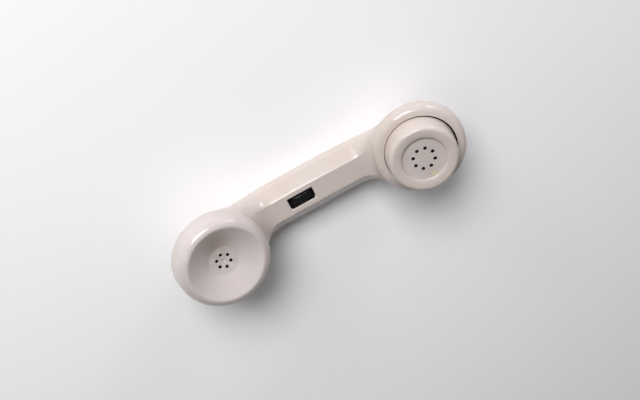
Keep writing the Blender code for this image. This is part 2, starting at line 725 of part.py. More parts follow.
def make_transmitter_ring(parent):
    """The screw-on ring that clamps the housing."""
    crest = RING_RADIUS - RING_RIM_WIDTH
    inner = TRANSMITTER.neck_radius + CLEARANCE
    mouth = housing_base_radius() + RING_GAP
    skirt = -TRANSMITTER_SKIRT_DEPTH + CLEARANCE
    lip = RING_CROWN - RING_LIP_THICKNESS
    outline = [(mouth, RING_CROWN)]
    outline += quarter(crest, -RING_SHOULDER_DROP, RING_RIM_WIDTH, RING_CROWN + RING_SHOULDER_DROP,
                       90, 0, 4)
    outline += [(TRANSMITTER_SKIRT_RADIUS, skirt), (inner, skirt), (inner, lip), (mouth, lip)]
    turned("transmitter_ring", outline, parent, "moulded_plastic", 44)


def make_housing(parent):
    """The housing that the ring clamps, and the pierced face let into its top."""
    gap = CLEARANCE
    base, top, crest = housing_base_radius(), housing_top_radius(), housing_crest_radius()
    rim = TRANSMITTER.neck_radius - HOUSING_FLANGE_INSET
    flange = RING_CROWN - RING_LIP_THICKNESS - gap
    low = -TRANSMITTER_NECK_DROP + gap
    peak, side, lip = HOUSING_CREST_HEIGHT, HOUSING_SIDE_HEIGHT, HOUSING_LIP_HEIGHT
    shelf = FACE_HEIGHT - FACE_THICKNESS - gap
    under = shelf - HOUSING_WALL
    face_edge = face_radius()
    seat = face_edge - FACE_SEAT_WIDTH
    outline = [(rim, low), (rim, flange), (base, flange), (base, RING_CROWN)]
    outline += quarter(crest, side, top - crest, peak - side, 0, 90, 3)
    outline += quarter(crest, lip, HOUSING_RIM_WIDTH, peak - lip, 90, 180, 3)[1:]
    outline += [(face_edge + gap, shelf), (seat, shelf), (seat, under)]
    outline += [(top - HOUSING_WALL, under), (base - HOUSING_WALL, low)]
    turned("transmitter_housing", outline, parent, "moulded_plastic", 44)
    face = turned("transmitter_face", disc_outline(face_edge, FACE_HEIGHT, FACE_THICKNESS),
                  parent, "face_plastic", 40)
    places = circle_places(FACE_HOLE_COUNT, FACE_HOLE_CIRCLE, FACE_HOLE_TURN)
    combine(face, add_object("face_hole_cutter", holes_mesh(
        "face_hole_cutter", places, FACE_HOLE_RADIUS, shelf, FACE_HEIGHT + gap), parent))
    turned("transmitter_screen", disc_outline(seat - gap, shelf, SCREEN_THICKNESS), parent,
           "screen_cloth")
    return under


def contact_ring_radii():
    """Inner radii of the two contact rings under the disc board."""
    return CONTACT_RING_RADIUS, housing_room() - CONTACT_RING_EDGE - CONTACT_RING_WIDTH


def make_microphone(parent, under):
    """The microphone in its rubber boot, on the disc board inside the housing."""
    gap = CLEARANCE
    boot_top = under - gap
    boot_low = boot_top - BOOT_HEIGHT
    outer = housing_room()
    turned("microphone_boot", ring_outline(BOOT_RADIUS + gap, outer, boot_top, BOOT_HEIGHT),
           parent, "boot_rubber", 28)
    top = boot_low + MICROPHONE_HEIGHT
    floor = boot_low + MICROPHONE_SHEET
    bore = BOOT_RADIUS - MICROPHONE_SHEET
    turned("microphone_case", [
        (BOOT_RADIUS, top), (BOOT_RADIUS, boot_low), (0, boot_low), (0, floor), (bore, floor),
        (bore, top)], parent, "plated_steel")
    plate_top = floor + gap + BACKPLATE_THICKNESS
    turned("microphone_backplate", disc_outline(bore - gap, plate_top, BACKPLATE_THICKNESS),
           parent, "plated_steel")
    turned("microphone_diaphragm", disc_outline(bore - gap, plate_top + gap + FILM_THICKNESS,
                                                FILM_THICKNESS), parent, "film")
    board_top = boot_low - gap
    board_low = board_top - DISC_BOARD_THICKNESS
    turned("transmitter_board", disc_outline(outer, board_top, DISC_BOARD_THICKNESS), parent,
           "circuit_board", 28)
    for number, radius in enumerate(contact_ring_radii(), 1):
        turned(f"contact_ring_{number}", ring_outline(
            radius, radius + CONTACT_RING_WIDTH, board_low - gap, CONTACT_RING_THICKNESS),
            parent, "brass")
    return board_low - gap - CONTACT_RING_THICKNESS


def make_transmitter_cup(parent, contact_level):
    """The cup on the ledge of the transmitter bore, with its springs and their screws."""
    gap = CLEARANCE
    rim = TRANSMITTER.bore_radius - gap
    floor_low = -TRANSMITTER_LEDGE_DEPTH + gap
    floor = floor_low + CUP_WALL
    top = -TRANSMITTER_NECK_DROP - gap
    cup = turned("transmitter_cup", [
        (rim, top), (rim, floor_low), (0, floor_low), (0, floor), (rim - CUP_WALL, floor),
        (rim - CUP_WALL, top)], parent, "black_plastic", 32)
    places = []
    for number, (radius, side) in enumerate(zip(contact_ring_radii(), (1, -1)), 1):
        x = radius + CONTACT_RING_WIDTH / 2
        y = side * SPRING_FOOT_PLACE
        places.append((x, y))
        spring(f"contact_spring_{number}", x, y, side, floor + gap, contact_level - gap, parent)
    combine(cup, add_object("cup_hole_cutter", holes_mesh(
        "cup_hole_cutter", places, SCREW_SHANK_RADIUS + gap, floor_low - gap, floor + gap),
        parent))
    for number, (x, y) in enumerate(places, 1):
        seat = floor + 2 * gap + SPRING_THICKNESS
        screw(f"cup_screw_{number}", (x, y, seat), parent, "brass", CUP_SCREW_LENGTH, up=False)
    return places, seat - CUP_SCREW_LENGTH


def spring(name, x, foot_y, side, low, high, parent):
    """A bent contact spring, drilled at its foot, that rises over its length to the contact."""
    t = SPRING_THICKNESS
    half = SPRING_WIDTH / 2
    start = foot_y + side * SPRING_FOOT_HALF
    bend = foot_y - side * SPRING_FOOT_HALF
    tip = bend - side * SPRING_LENGTH
    path = [(start, low), (bend, low), (tip, high - t), (tip - side * SPRING_TIP, high - t)]
    shape = bmesh.new()
    rows = []
    for y, z in path:
        rows.append([shape.verts.new(co) for co in (
            (x - half, y, z), (x + half, y, z), (x + half, y, z + t), (x - half, y, z + t))])
    for row, following in zip(rows, rows[1:]):
        for k in range(4):
            j = (k + 1) % 4
            shape.faces.new((row[k], row[j], following[j], following[k]))
    shape.faces.new(rows[0])
    shape.faces.new(rows[-1])
    strip = add_object(name, close_mesh(name, shape, smooth=False), parent, "brass")
    combine(strip, add_object(f"{name}_hole_cutter", holes_mesh(
        f"{name}_hole_cutter", [(x, foot_y)], SCREW_SHANK_RADIUS + CLEARANCE, low - t,
        low + 2 * t), parent))


def wheel_height():
    return flat_height(SLOT_X) + WHEEL_PROUD - WHEEL_RADIUS


def cheek_inside():
    return SLOT_WIDTH / 2 - CLEARANCE - CHEEK_THICKNESS


def cheek_outside():
    return cheek_inside() + CHEEK_FOOT_THICKNESS


def make_wheel(axis):
    """The ribbed thumbwheel, bored for its shaft, and the shaft."""
    gap = CLEARANCE
    half = WHEEL_WIDTH / 2
    rim = []
    for k in range(2 * WHEEL_RIBS):
        r = WHEEL_RADIUS - (WHEEL_RIB_HEIGHT if k % 2 else 0)
        a = math.pi * k / WHEEL_RIBS
        rim.append((r * math.cos(a), r * math.sin(a)))
    shape = bmesh.new()
    low = [shape.verts.new((x, y, -half)) for x, y in rim]
    high = [shape.verts.new((x, y, half)) for x, y in rim]
    for k in range(len(rim)):
        j = (k + 1) % len(rim)
        shape.faces.new((low[k], low[j], high[j], high[k]))
    shape.faces.new(low)
    shape.faces.new(high)
    wheel = add_object("volume_wheel", close_mesh("volume_wheel", shape, smooth=False), axis,
                       "black_plastic")
    combine(wheel, add_object("wheel_bore_cutter", holes_mesh(
        "wheel_bore_cutter", [(0, 0)], SHAFT_RADIUS + gap, -half - gap, half + gap, 16), axis))
    end = cheek_outside()
    turned("volume_shaft", disc_outline(SHAFT_RADIUS, end, 2 * end + gap), axis,
           "plated_steel", 16)


def make_potentiometer(axis):
    """The potentiometer on the wheel's shaft, with its row of pins down to the board."""
    start = cheek_outside() + CLEARANCE
    pot = turned("volume_potentiometer", disc_outline(POT_RADIUS, start + POT_THICKNESS,
                                                      POT_THICKNESS), axis, "pot_case")
    drop = wheel_height() - board_top() - CLEARANCE
    for number in range(POT_PIN_COUNT):
        y = start + POT_PIN_EDGE + POT_PIN_PITCH * number
        pin = box(f"pot_pin_{number}_tool", (POT_PIN_ROOT, drop - POT_PIN_SIZE, y),
                  (BOARD_START - SLOT_X + POT_PIN_REACH, drop, y + POT_PIN_SIZE), axis)
        combine(pot, pin, "UNION")


def board_top():
    return flat_height(SLOT_X) - WALL - CLEARANCE - CHASSIS_THICKNESS - BOSS_HEIGHT


def make_chassis():
    """The carrier under the inner flat: two cheeks that line the slot, a plate and two bosses."""
    gap = CLEARANCE
    roof = flat_height(SLOT_X) - WALL - gap
    half = CHEEK_LENGTH / 2
    plate_low = roof - CHASSIS_THICKNESS
    start = SLOT_X - WHEEL_RADIUS - CHASSIS_MARGIN
    chassis = box("control_chassis", (start, -CHASSIS_HALF_WIDTH, plate_low),
                  (CHASSIS_END, CHASSIS_HALF_WIDTH, roof), None, "black_plastic")
    inner, outer = cheek_inside(), cheek_outside()
    tab_top = flat_height(SLOT_X) - gap
    for number, side in enumerate((1, -1)):
        tab = [side * inner, side * (inner + CHEEK_THICKNESS)]
        leg = [side * inner, side * outer]
        combine(chassis, box(f"cheek_tab_{number}_tool",
                             (SLOT_X - half, min(tab), roof - JOIN_OVERLAP),
                             (SLOT_X + half, max(tab), tab_top)), "UNION")
        combine(chassis, box(f"cheek_leg_{number}_tool",
                             (SLOT_X - half / 2, min(leg), roof - CHEEK_DEPTH),
                             (SLOT_X + half / 2, max(leg), roof - JOIN_OVERLAP)), "UNION")
    room = WHEEL_RADIUS + 2 * gap
    combine(chassis, box("wheel_room_cutter", (SLOT_X - room, -inner, plate_low - CUT_OVERRUN),
                         (SLOT_X + room, inner, roof + gap)))
    turn = Matrix.Translation((SLOT_X, 0, wheel_height())) @ Matrix.Rotation(
        math.radians(90), 4, "X")
    bearing = add_object("bearing_cutter", holes_mesh(
        "bearing_cutter", [(0, 0)], SHAFT_RADIUS + gap, -2 * outer, 2 * outer, 16), place=turn)
    combine(chassis, bearing)
    places = [(x, 0) for x in BOSS_PLACES]
    combine(chassis, add_object("boss_tool", holes_mesh(
        "boss_tool", places, BOSS_RADIUS, plate_low - BOSS_HEIGHT + gap, roof - JOIN_OVERLAP, 16)),
        "UNION")
    combine(chassis, add_object("boss_hole_cutter", holes_mesh(
        "boss_hole_cutter", places, BOARD_SCREW_RADIUS + gap, plate_low - BOSS_HEIGHT - gap,
        plate_low - CUT_OVERRUN)))


def make_board():
    """The amplifier board under the chassis, its screws and the parts soldered to it."""
    gap = CLEARANCE
    top = board_top()
    low = top - BOARD_THICKNESS
    end = BOARD_START + BOARD_LENGTH
    board = box("amplifier_board", (BOARD_START, -BOARD_WIDTH / 2, low),
                (end, BOARD_WIDTH / 2, top), None, "circuit_board")
    combine(board, add_object("board_hole_cutter", holes_mesh(
        "board_hole_cutter", [(x, 0) for x in BOSS_PLACES], BOARD_SCREW_RADIUS + gap,
        low - gap, top + gap)))
    for number, x in enumerate(BOSS_PLACES, 1):
        screw(f"board_screw_{number}", (x, 0, low - gap), None, "plated_steel",
              BOARD_THICKNESS + 2 * gap + BOARD_SCREW_BITE, shank=BOARD_SCREW_RADIUS)
    under = low - gap
    middle = BOARD_START + BOARD_LENGTH / 2
    box("amplifier_chip", (middle - CHIP_LENGTH / 2, CHIP_PLACE, under - CHIP_HEIGHT),
        (middle + CHIP_LENGTH / 2, CHIP_PLACE + CHIP_WIDTH, under), None, "black_plastic")
    for number, side in enumerate((-1, 1), 1):
        x = middle + side * CAPACITOR_SPACING / 2
        turned(f"capacitor_{number}", disc_outline(CAPACITOR_RADIUS, 0, CAPACITOR_HEIGHT), None,
               "capacitor_sleeve", 20, Matrix.Translation((x, CAPACITOR_PLACE, under)))
    for number, x in enumerate((BOARD_START + RESISTOR_INSET, end - RESISTOR_INSET), 1):
        place = Matrix.Translation((x, RESISTOR_PLACE, top + gap + RESISTOR_RADIUS))
        turned(f"resistor_{number}", disc_outline(
            RESISTOR_RADIUS, RESISTOR_LENGTH / 2, RESISTOR_LENGTH), None, "component_body", 12,
            place @ Matrix.Rotation(math.radians(90), 4, "X"))
    return under


def make_jack(parent):
    """A four-way cord jack with its socket facing out of the transmitter end."""
    front = -JACK_RECESS
    back = front - JACK_LENGTH
    housing = box("jack_housing", (-JACK_TALL / 2, -JACK_WIDTH / 2, back),
                  (JACK_TALL / 2, JACK_WIDTH / 2, front), parent, "black_plastic")
    combine(housing, box("socket_cutter", (-SOCKET_TALL / 2, -SOCKET_WIDTH / 2,
                                           front - SOCKET_DEPTH),
                         (SOCKET_TALL / 2, SOCKET_WIDTH / 2, front + CUT_OVERRUN), parent))
    combine(housing, box("latch_cutter", (SOCKET_TALL / 2 - JOIN_OVERLAP, -LATCH_WIDTH / 2,
                                          front - SOCKET_DEPTH / 2),
                         (SOCKET_TALL / 2 + LATCH_TALL, LATCH_WIDTH / 2, front + CUT_OVERRUN),
                         parent))
    size = JACK_CONTACT_SIZE
    floor = -SOCKET_TALL / 2 + CLEARANCE
    for number in range(JACK_CONTACT_COUNT):
        y = (number - (JACK_CONTACT_COUNT - 1) / 2) * JACK_CONTACT_PITCH
        box(f"jack_contact_{number + 1}", (floor, y - size / 2, front - SOCKET_DEPTH + CLEARANCE),
            (floor + size, y + size / 2, front - JACK_CONTACT_START), parent, "brass")
    return back


def smooth_route(points, count):
    """Points read from a smooth curve through the route's own points."""
    ends = [2 * points[0] - points[1]] + points + [2 * points[-1] - points[-2]]
    route = []
    spans = len(points) - 1
    for k in range(count):
        place = spans * k / (count - 1)
        i = min(int(place), spans - 1)
        t = place - i
        a, b, c, d = ends[i:i + 4]
        route.append(0.5 * (2 * b + (c - a) * t + (2 * a - 5 * b + 4 * c - d) * t * t
                            + (3 * b - a - 3 * c + d) * t ** 3))
    return route


def lead(name, points, colour, count):
    """An insulated wire along a route of world points."""
    curve = bpy.data.curves.new(name, "CURVE")
    curve.dimensions = "3D"
    curve.bevel_depth = LEAD_RADIUS
    curve.bevel_resolution = 2
    curve.use_fill_caps = True
    line = curve.splines.new("POLY")
    line.points.add(count - 1)
    for point, co in zip(line.points, smooth_route([Vector(p) for p in points], count)):
        point.co = (*co, 1)
    add_object(name, curve, finish=f"{colour}_insulation")


def head_place(head, x, y, h):
    """World place of a point given in a head's own frame."""
    spot = head.point(h, head.side * x)
    return Vector((head.side * spot.x, y, spot.y))


def make_leads(board_low, plate_low, cup_places, screw_end, jack_back):
    """The leads from the board to the receiver, the transmitter cup and the jack."""
    start = board_low - 2 * CLEARANCE - LEAD_RADIUS
    board_end = BOARD_START + BOARD_LENGTH
    screw_low = plate_low - 3 * CLEARANCE - SCREW_HEAD_HEIGHT - LEAD_RADIUS
    for number, (side, colour) in enumerate(((-1, "red"), (1, "white")), 1):
        route = [(BOARD_START + RECEIVER_LEAD_INSET, side * RECEIVER_LEAD_SIDE, start)]
        route += [(x, side * y, z) for x, y, z in RECEIVER_LEAD_ROUTE]
        route.append(head_place(RECEIVER, 0, side * TERMINAL_SPACING / 2, screw_low))
        lead(f"receiver_lead_{number}", route, colour, 18)
    for number, ((x, y), colour) in enumerate(zip(cup_places, ("black", "yellow")), 1):
        side = math.copysign(1, y)
        last = head_place(TRANSMITTER, x, y, screw_end - CLEARANCE - LEAD_RADIUS)
        route = [(board_end - TRANSMITTER_LEAD_INSET, side * TRANSMITTER_LEAD_SIDE, start)]
        route += [(x, side * y, z) for x, y, z in TRANSMITTER_LEAD_ROUTE]
        lead(f"transmitter_lead_{number}", route + [last + Vector(TRANSMITTER_LEAD_DIP), last],
             colour, 14)
    turn = Matrix.Rotation(math.radians(90) + JACK_PITCH, 3, "Y")
    for number, colour in enumerate(("red", "green", "black", "yellow")):
        y = (number - (JACK_CONTACT_COUNT - 1) / 2) * JACK_LEAD_PITCH
        end = JACK.location + turn @ Vector((0, y, jack_back - CLEARANCE - LEAD_RADIUS))
        behind = JACK.location + turn @ Vector((JACK_LEAD_RISE, y, jack_back - JACK_LEAD_TAIL))
        spread = JACK_LEAD_ROUTE[0][1]
        route = [(board_end - JACK_LEAD_INSET, spread * y, start - JACK_LEAD_DROP)]
        route += [(x, share * y, z) for x, share, z in JACK_LEAD_ROUTE]
        lead(f"jack_lead_{number + 1}", route + [behind, end], colour, 14)


clear_scene()
JACK = jack_empty()
make_handle()
receiver_axis = RECEIVER.empty("receiver_axis")
make_receiver_cap(receiver_axis)
terminal_level = make_receiver_unit(receiver_axis)
transmitter_axis = TRANSMITTER.empty("transmitter_axis")
make_transmitter_ring(transmitter_axis)
housing_axis = add_object("housing_axis", None, transmitter_axis)
housing_axis.location = (-HOUSING_OFFSET, 0, 0)
shelf_level = make_housing(housing_axis)
contact_level = make_microphone(housing_axis, shelf_level)
spring_places, screw_level = make_transmitter_cup(transmitter_axis, contact_level)
volume_axis = add_object("volume_axis", None)
volume_axis.location = (SLOT_X, 0, wheel_height())
volume_axis.rotation_euler = (math.radians(-90), 0, 0)
make_wheel(volume_axis)
make_potentiometer(volume_axis)
make_chassis()
board_level = make_board()
jack_level = make_jack(JACK)
make_leads(board_level, terminal_level, spring_places, screw_level, jack_level)
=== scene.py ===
"""Looks of a moulded telephone handset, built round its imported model.

Metres, +Z up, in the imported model's own frame. +X runs from the receiver, at the ear,
to the transmitter, at the mouth. A place on a head is given by h, the height along the
head's own axis above the circle where it is widest, and r, the distance from that axis.
"""
import json
import math

import bmesh
import bpy
from mathutils import Euler, Matrix, Quaternion, Vector


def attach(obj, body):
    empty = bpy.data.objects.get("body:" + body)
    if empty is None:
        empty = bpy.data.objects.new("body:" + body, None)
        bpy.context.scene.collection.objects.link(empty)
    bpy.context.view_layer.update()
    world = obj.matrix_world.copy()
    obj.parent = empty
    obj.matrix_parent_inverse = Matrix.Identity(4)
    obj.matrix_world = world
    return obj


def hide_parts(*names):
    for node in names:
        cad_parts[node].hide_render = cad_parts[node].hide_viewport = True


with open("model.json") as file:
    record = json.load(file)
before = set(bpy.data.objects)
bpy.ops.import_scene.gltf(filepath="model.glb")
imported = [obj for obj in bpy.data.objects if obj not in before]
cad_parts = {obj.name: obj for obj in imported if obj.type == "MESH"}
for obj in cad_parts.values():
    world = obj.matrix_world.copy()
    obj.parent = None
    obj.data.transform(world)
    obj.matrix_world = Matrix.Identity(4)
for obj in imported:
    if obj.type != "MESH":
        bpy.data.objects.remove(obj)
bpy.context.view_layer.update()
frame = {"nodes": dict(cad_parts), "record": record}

# Fits and walls
CLEARANCE = 0.0003
WALL = 0.003
SEAM_ROUND = 0.0005
SEAM_ANGLES = (22, 45, 67, 90)

# Handle bar
OVERALL_LENGTH = 0.2064
BAR_DEPTH = 0.023
BAR_HALF_WIDTH = 0.0156
BAR_SWELL = 0.0005
BAR_ARCH = 0.001
ARCH_HALF_LENGTH = 0.040
FLAT_HALF_WIDTH = 0.0073
RIDGE_HALF_WIDTH = 0.0103
RIDGE_DROP = 0.003
FACET_HALF_WIDTH = 0.0147
FACET_DROP = 0.008
WIDEST_DROP = 0.0105
REST_FLAT_ANGLE = 70
HEAD_SQUARENESS = 2.0
HEAD_GROWTH = 2.0
HEAD_LEAN = 0.3
CORNER_SOFTNESS = 0.9
NECK_FULLNESS = 0.55

# Heads
NECK_RADIUS = 0.0284
BORE_RADIUS = 0.026
LEDGE_RADIUS = 0.0235
RECEIVER_SKIRT_RADIUS = 0.0312
RECEIVER_SKIRT_DEPTH = 0.0073
TRANSMITTER_SKIRT_RADIUS = 0.0303
TRANSMITTER_SKIRT_DEPTH = 0.0059

# Receiver cap. The bowl's wall is straight for a share of its climb, and its lip bends at
# shares of the way across and up to the crest.
EARCAP_RADIUS = 0.031
EARCAP_SHOULDER_DROP = 0.004
EARCAP_CREST_RADIUS = 0.0245
EARCAP_CREST_HEIGHT = 0.0065
EARCAP_BOWL_TOP_RADIUS = 0.0226
EARCAP_BOWL_TOP_HEIGHT = 0.00575
EARCAP_BOWL_STRAIGHT = 0.9
EARCAP_LIP_BEND = (0.8, 1.0)
EARCAP_FLOOR_RADIUS = 0.0100
EARCAP_FLOOR_THICKNESS = 0.002
EARCAP_FLOOR_STEP = 0.00015
EARCAP_STEP_START = 0.4
EARCAP_RIB_RADIUS = 0.0233
EARCAP_RIB_DEPTH = 0.0023
EARCAP_DIMPLE_RADIUS = 0.0007
EARCAP_DIMPLE_DEPTH = 0.0008
EARCAP_DIMPLE_CONE = 0.6
EARCAP_DIMPLE_EDGE = 0.00008
EARCAP_DIMPLE_SPREAD = 1.3
EARCAP_HOLES = {"Count": 6, "Circle": 0.0046, "Turn": math.radians(30), "Hole": 0.0011}

# Transmitter ring, housing and face
RING_RADIUS = 0.0305
RING_INNER_RADIUS = 0.0240
RING_RIM_WIDTH = 0.0044
RING_SHOULDER_DROP = 0.0018
RING_CROWN = 0.0032
RING_LIP_THICKNESS = 0.0022
RING_LIP_HEIGHT = RING_CROWN - RING_LIP_THICKNESS
RING_NOSE = 0.0003
HOUSING_OFFSET = 0.0004
HOUSING_FLANGE_INSET = 0.0008
HOUSING_BASE_RADIUS = 0.0234
HOUSING_TOP_RADIUS = 0.0223
HOUSING_SIDE_HEIGHT = 0.013
HOUSING_CREST_RADIUS = 0.0198
HOUSING_CREST_HEIGHT = 0.0165
HOUSING_LIP_HEIGHT = 0.0152
HOUSING_WALL = 0.002
FACE_RADIUS = 0.0143
FACE_GAP = 0.00004
FACE_HEIGHT = 0.0143
FACE_THICKNESS = 0.0015
FACE_SEAT_WIDTH = 0.0015
FACE_EDGE = 0.00008
FACE_HOLES = {"Count": 8, "Circle": 0.007, "Turn": math.radians(-23.5), "Hole": 0.0012}
HOLE_FLARE = 0.00008

# Volume control
SLOT_X = -0.0088
SLOT_LENGTH = 0.0184
SLOT_WIDTH = 0.0082
SLOT_CORNER = 0.0006
SLOT_CHAMFER = 0.0004
WHEEL_RADIUS = 0.010
WHEEL_WIDTH = 0.0056
WHEEL_PROUD = 0.001
WHEEL_RIBS = 36
WHEEL_RIB_RADIUS = 0.0003
WHEEL_BORE = 0.0019

# Cord jack
JACK_HEIGHT = 0.027
JACK_PITCH = math.radians(12)
JACK_WIDTH = 0.0098
JACK_TALL = 0.0094
JACK_LENGTH = 0.011

# Camera, in millimetres on a 36 mm sensor and in degrees
CAMERA_PLACE = (-0.03842, 0.22513, 0.46273)
CAMERA_TURN = (-23.091, -16.669, -24.203)
CAMERA_LENS = 42.45

# The room's light: its strength far from the windows and toward them, and its tint
ROOM_GLOW = (0.03, 0.30)
ROOM_TINT = (1.0, 0.985, 0.97, 1)

# Floor
FLOOR_HALF = 4
FLOOR_GAP = 0.0003
FLOOR_GREYS = ((0.95, 0.95, 0.95), (0.97, 0.97, 0.97))
FLOOR_ROUGHNESS = 0.8
FLOOR_SPECULAR = 0.1

# Lights: name, azimuth, elevation, distance, size, watts, tint and roll, angles in degrees
LIGHTS_LOOK_AT = Vector((0, 0, 0.03))
LIGHTS = [
    ("softbox", 102, 43, 1.5, (0.8, 0.6), 20, (0.98, 0.975, 1.0), 0),
    ("window_left", 112, 18, 1.2, (0.26, 0.10), 0.8, (0.96, 0.97, 1.0), 0),
    ("window_right", 41, 11, 1.2, (0.30, 0.20), 2.6, (0.97, 0.92, 1.0), 0),
    ("window_strip", 158, 54, 1.2, (0.50, 0.03), 0.6, (1.0, 0.98, 1.0), 55),
]

# Fineness of the meshes, and the edges in degrees past which shading turns sharp
SECTION_STEPS = 90
SOFTENING_STEPS = 4
BAR_RINGS = 40
HEAD_RINGS = 56
INNER_BAR_RINGS = 6
INNER_HEAD_RINGS = 12
BOWL_STEPS = 16
LIP_STEPS = 8
CORNER_STEPS = 4
FINE_SIDES = 192
HOLE_SIDES = 24
RIB_SIDES = 12
ARC_STEP = math.radians(7)
MERGE_DISTANCE = 1e-6
SHARP_ANGLE = 30
HANDLE_SHARP_ANGLE = 32


class Head:
    """One end of the handle, in a side view with u outwards along the handle and v up."""

    def __init__(self, side, tilt, height, flat_end, slope, skirt_radius, skirt_depth,
                 neck_top, ledge_depth, cup_depth):
        self.side = side
        self.tilt = math.radians(tilt)
        self.height = height
        self.flat_end = flat_end
        self.slope = math.radians(slope)
        self.skirt_radius = skirt_radius
        self.skirt_depth = skirt_depth
        self.neck_top = neck_top
        self.ledge_depth = ledge_depth
        self.cup_depth = cup_depth
        reach = skirt_radius * math.cos(self.tilt) + skirt_depth * math.sin(self.tilt)
        self.centre = OVERALL_LENGTH / 2 - reach
        self.place = Matrix.Translation((side * self.centre, 0, height)) @ Matrix.Rotation(
            -side * self.tilt, 4, "Y")

    def point(self, h, r):
        """The point at height h and distance r on the far side of the head's axis."""
        u = self.centre - h * math.sin(self.tilt) + r * math.cos(self.tilt)
        v = self.height + h * math.cos(self.tilt) + r * math.sin(self.tilt)
        return Vector((u, v))


RECEIVER = Head(side=-1, tilt=7.8, height=0.0463, flat_end=0.0285, slope=78,
                skirt_radius=RECEIVER_SKIRT_RADIUS, skirt_depth=RECEIVER_SKIRT_DEPTH,
                neck_top=0.0015, ledge_depth=0.005, cup_depth=0.0175)
TRANSMITTER = Head(side=1, tilt=12.8, height=0.0416, flat_end=0.0325, slope=58,
                   skirt_radius=TRANSMITTER_SKIRT_RADIUS, skirt_depth=TRANSMITTER_SKIRT_DEPTH,
                   neck_top=-0.002, ledge_depth=0.009, cup_depth=0.012)
CAN_PLACE = TRANSMITTER.place @ Matrix.Translation((-HOUSING_OFFSET, 0, 0))


class Nodes:
    """Adds nodes to a tree, with their inputs set or linked by name or number."""

    def __init__(self, tree):
        self.tree = tree

    def node(self, kind, links=None, out=0, **settings):
        """Add a node, and give one of its outputs. A list of values fills one input."""
        made = self.tree.nodes.new(kind)
        for label, value in settings.items():
            setattr(made, label, value)
        for label, value in (links or {}).items():
            for item in value if isinstance(value, list) else [value]:
                if isinstance(item, bpy.types.NodeSocket):
                    self.tree.links.new(item, made.inputs[label])
                else:
                    made.inputs[label].default_value = item
        return made.outputs[out]

    def math(self, operation, *values):
        return self.node("ShaderNodeMath", dict(enumerate(values)), operation=operation)

    def vector(self, x=0.0, y=0.0, z=0.0):
        return self.node("ShaderNodeCombineXYZ", {"X": x, "Y": y, "Z": z})

    def parts(self, vector):
        """The X, Y and Z of a vector."""
        made = self.tree.nodes.new("ShaderNodeSeparateXYZ")
        self.tree.links.new(vector, made.inputs[0])
        return made.outputs


class Tree(Nodes):
    """A Geometry Nodes tree with named inputs. It ends in Realize Instances and Set Material."""

    def __init__(self, name, inputs):
        super().__init__(bpy.data.node_groups.new(name, "GeometryNodeTree"))
        kinds = {int: "NodeSocketInt", float: "NodeSocketFloat"}
        sockets = self.tree.interface
        sockets.new_socket("Geometry", in_out="OUTPUT", socket_type="NodeSocketGeometry")
        sockets.new_socket("Geometry", in_out="INPUT", socket_type="NodeSocketGeometry")
        for label, value in inputs.items():
            socket = sockets.new_socket(label, in_out="INPUT", socket_type=kinds[type(value)])
            socket.default_value = value
        sockets.new_socket("Material", in_out="INPUT", socket_type="NodeSocketMaterial")
        self.inputs = self.tree.nodes.new("NodeGroupInput").outputs

    def spread(self, points, instance):
        """Copies of an instance at points, made real."""
        copies = self.node("GeometryNodeInstanceOnPoints", {"Points": points, "Instance": instance})
        return self.node("GeometryNodeRealizeInstances", {0: copies})

    def finish(self, geometry):
        real = self.node("GeometryNodeRealizeInstances", {0: geometry})
        done = self.node("GeometryNodeSetMaterial",
                         {"Geometry": real, "Material": self.inputs["Material"]})
        end = self.tree.nodes.new("NodeGroupOutput")
        self.tree.links.new(done, end.inputs[0])
        return self

    def grow(self, mesh, material, values):
        """The plain mesh that the tree makes from a mesh."""
        seed = bpy.data.objects.new("seed", mesh)
        bpy.context.scene.collection.objects.link(seed)
        modifier = seed.modifiers.new("grow", "NODES")
        modifier.node_group = self.tree
        values = {**values, "Material": material}
        for item in self.tree.interface.items_tree:
            if item.in_out == "INPUT" and item.name in values:
                modifier[item.identifier] = values[item.name]
        result = evaluated_mesh(seed)
        bpy.data.objects.remove(seed)
        return result


def evaluated_mesh(piece):
    """A plain mesh of an object, with its modifiers applied."""
    bpy.context.view_layer.update()
    depsgraph = bpy.context.evaluated_depsgraph_get()
    return bpy.data.meshes.new_from_object(piece.evaluated_get(depsgraph))


def turning_tree():
    """Turns an outline of (r, h) points, held as vertices at (r, 0, h), about Z."""
    t = Tree("turning", {"Points": 2, "Sides": 32})
    rows = t.math("ADD", t.inputs["Sides"], 1.0)
    grid = t.node("GeometryNodeMeshGrid", {"Vertices X": t.inputs["Points"], "Vertices Y": rows})
    # Half a step past each index, so that rounding down never loses a row
    middle = t.math("ADD", t.node("GeometryNodeInputIndex"), 0.5)
    row = t.math("FLOOR", t.math("DIVIDE", middle, rows))
    column = t.math("FLOOR", t.math("MODULO", middle, rows))
    corner = t.parts(t.node("GeometryNodeSampleIndex", {
        "Geometry": t.inputs["Geometry"], "Value": t.node("GeometryNodeInputPosition"),
        "Index": row}, data_type="FLOAT_VECTOR"))
    angle = t.math("MULTIPLY", t.math("DIVIDE", column, t.inputs["Sides"]), math.tau)
    x = t.math("MULTIPLY", corner["X"], t.math("COSINE", angle))
    y = t.math("MULTIPLY", corner["X"], t.math("SINE", angle))
    moved = t.node("GeometryNodeSetPosition", {
        "Geometry": grid, "Position": t.vector(x, y, corner["Z"])})
    return t.finish(t.node("GeometryNodeMergeByDistance",
                           {"Geometry": moved, "Distance": MERGE_DISTANCE}))


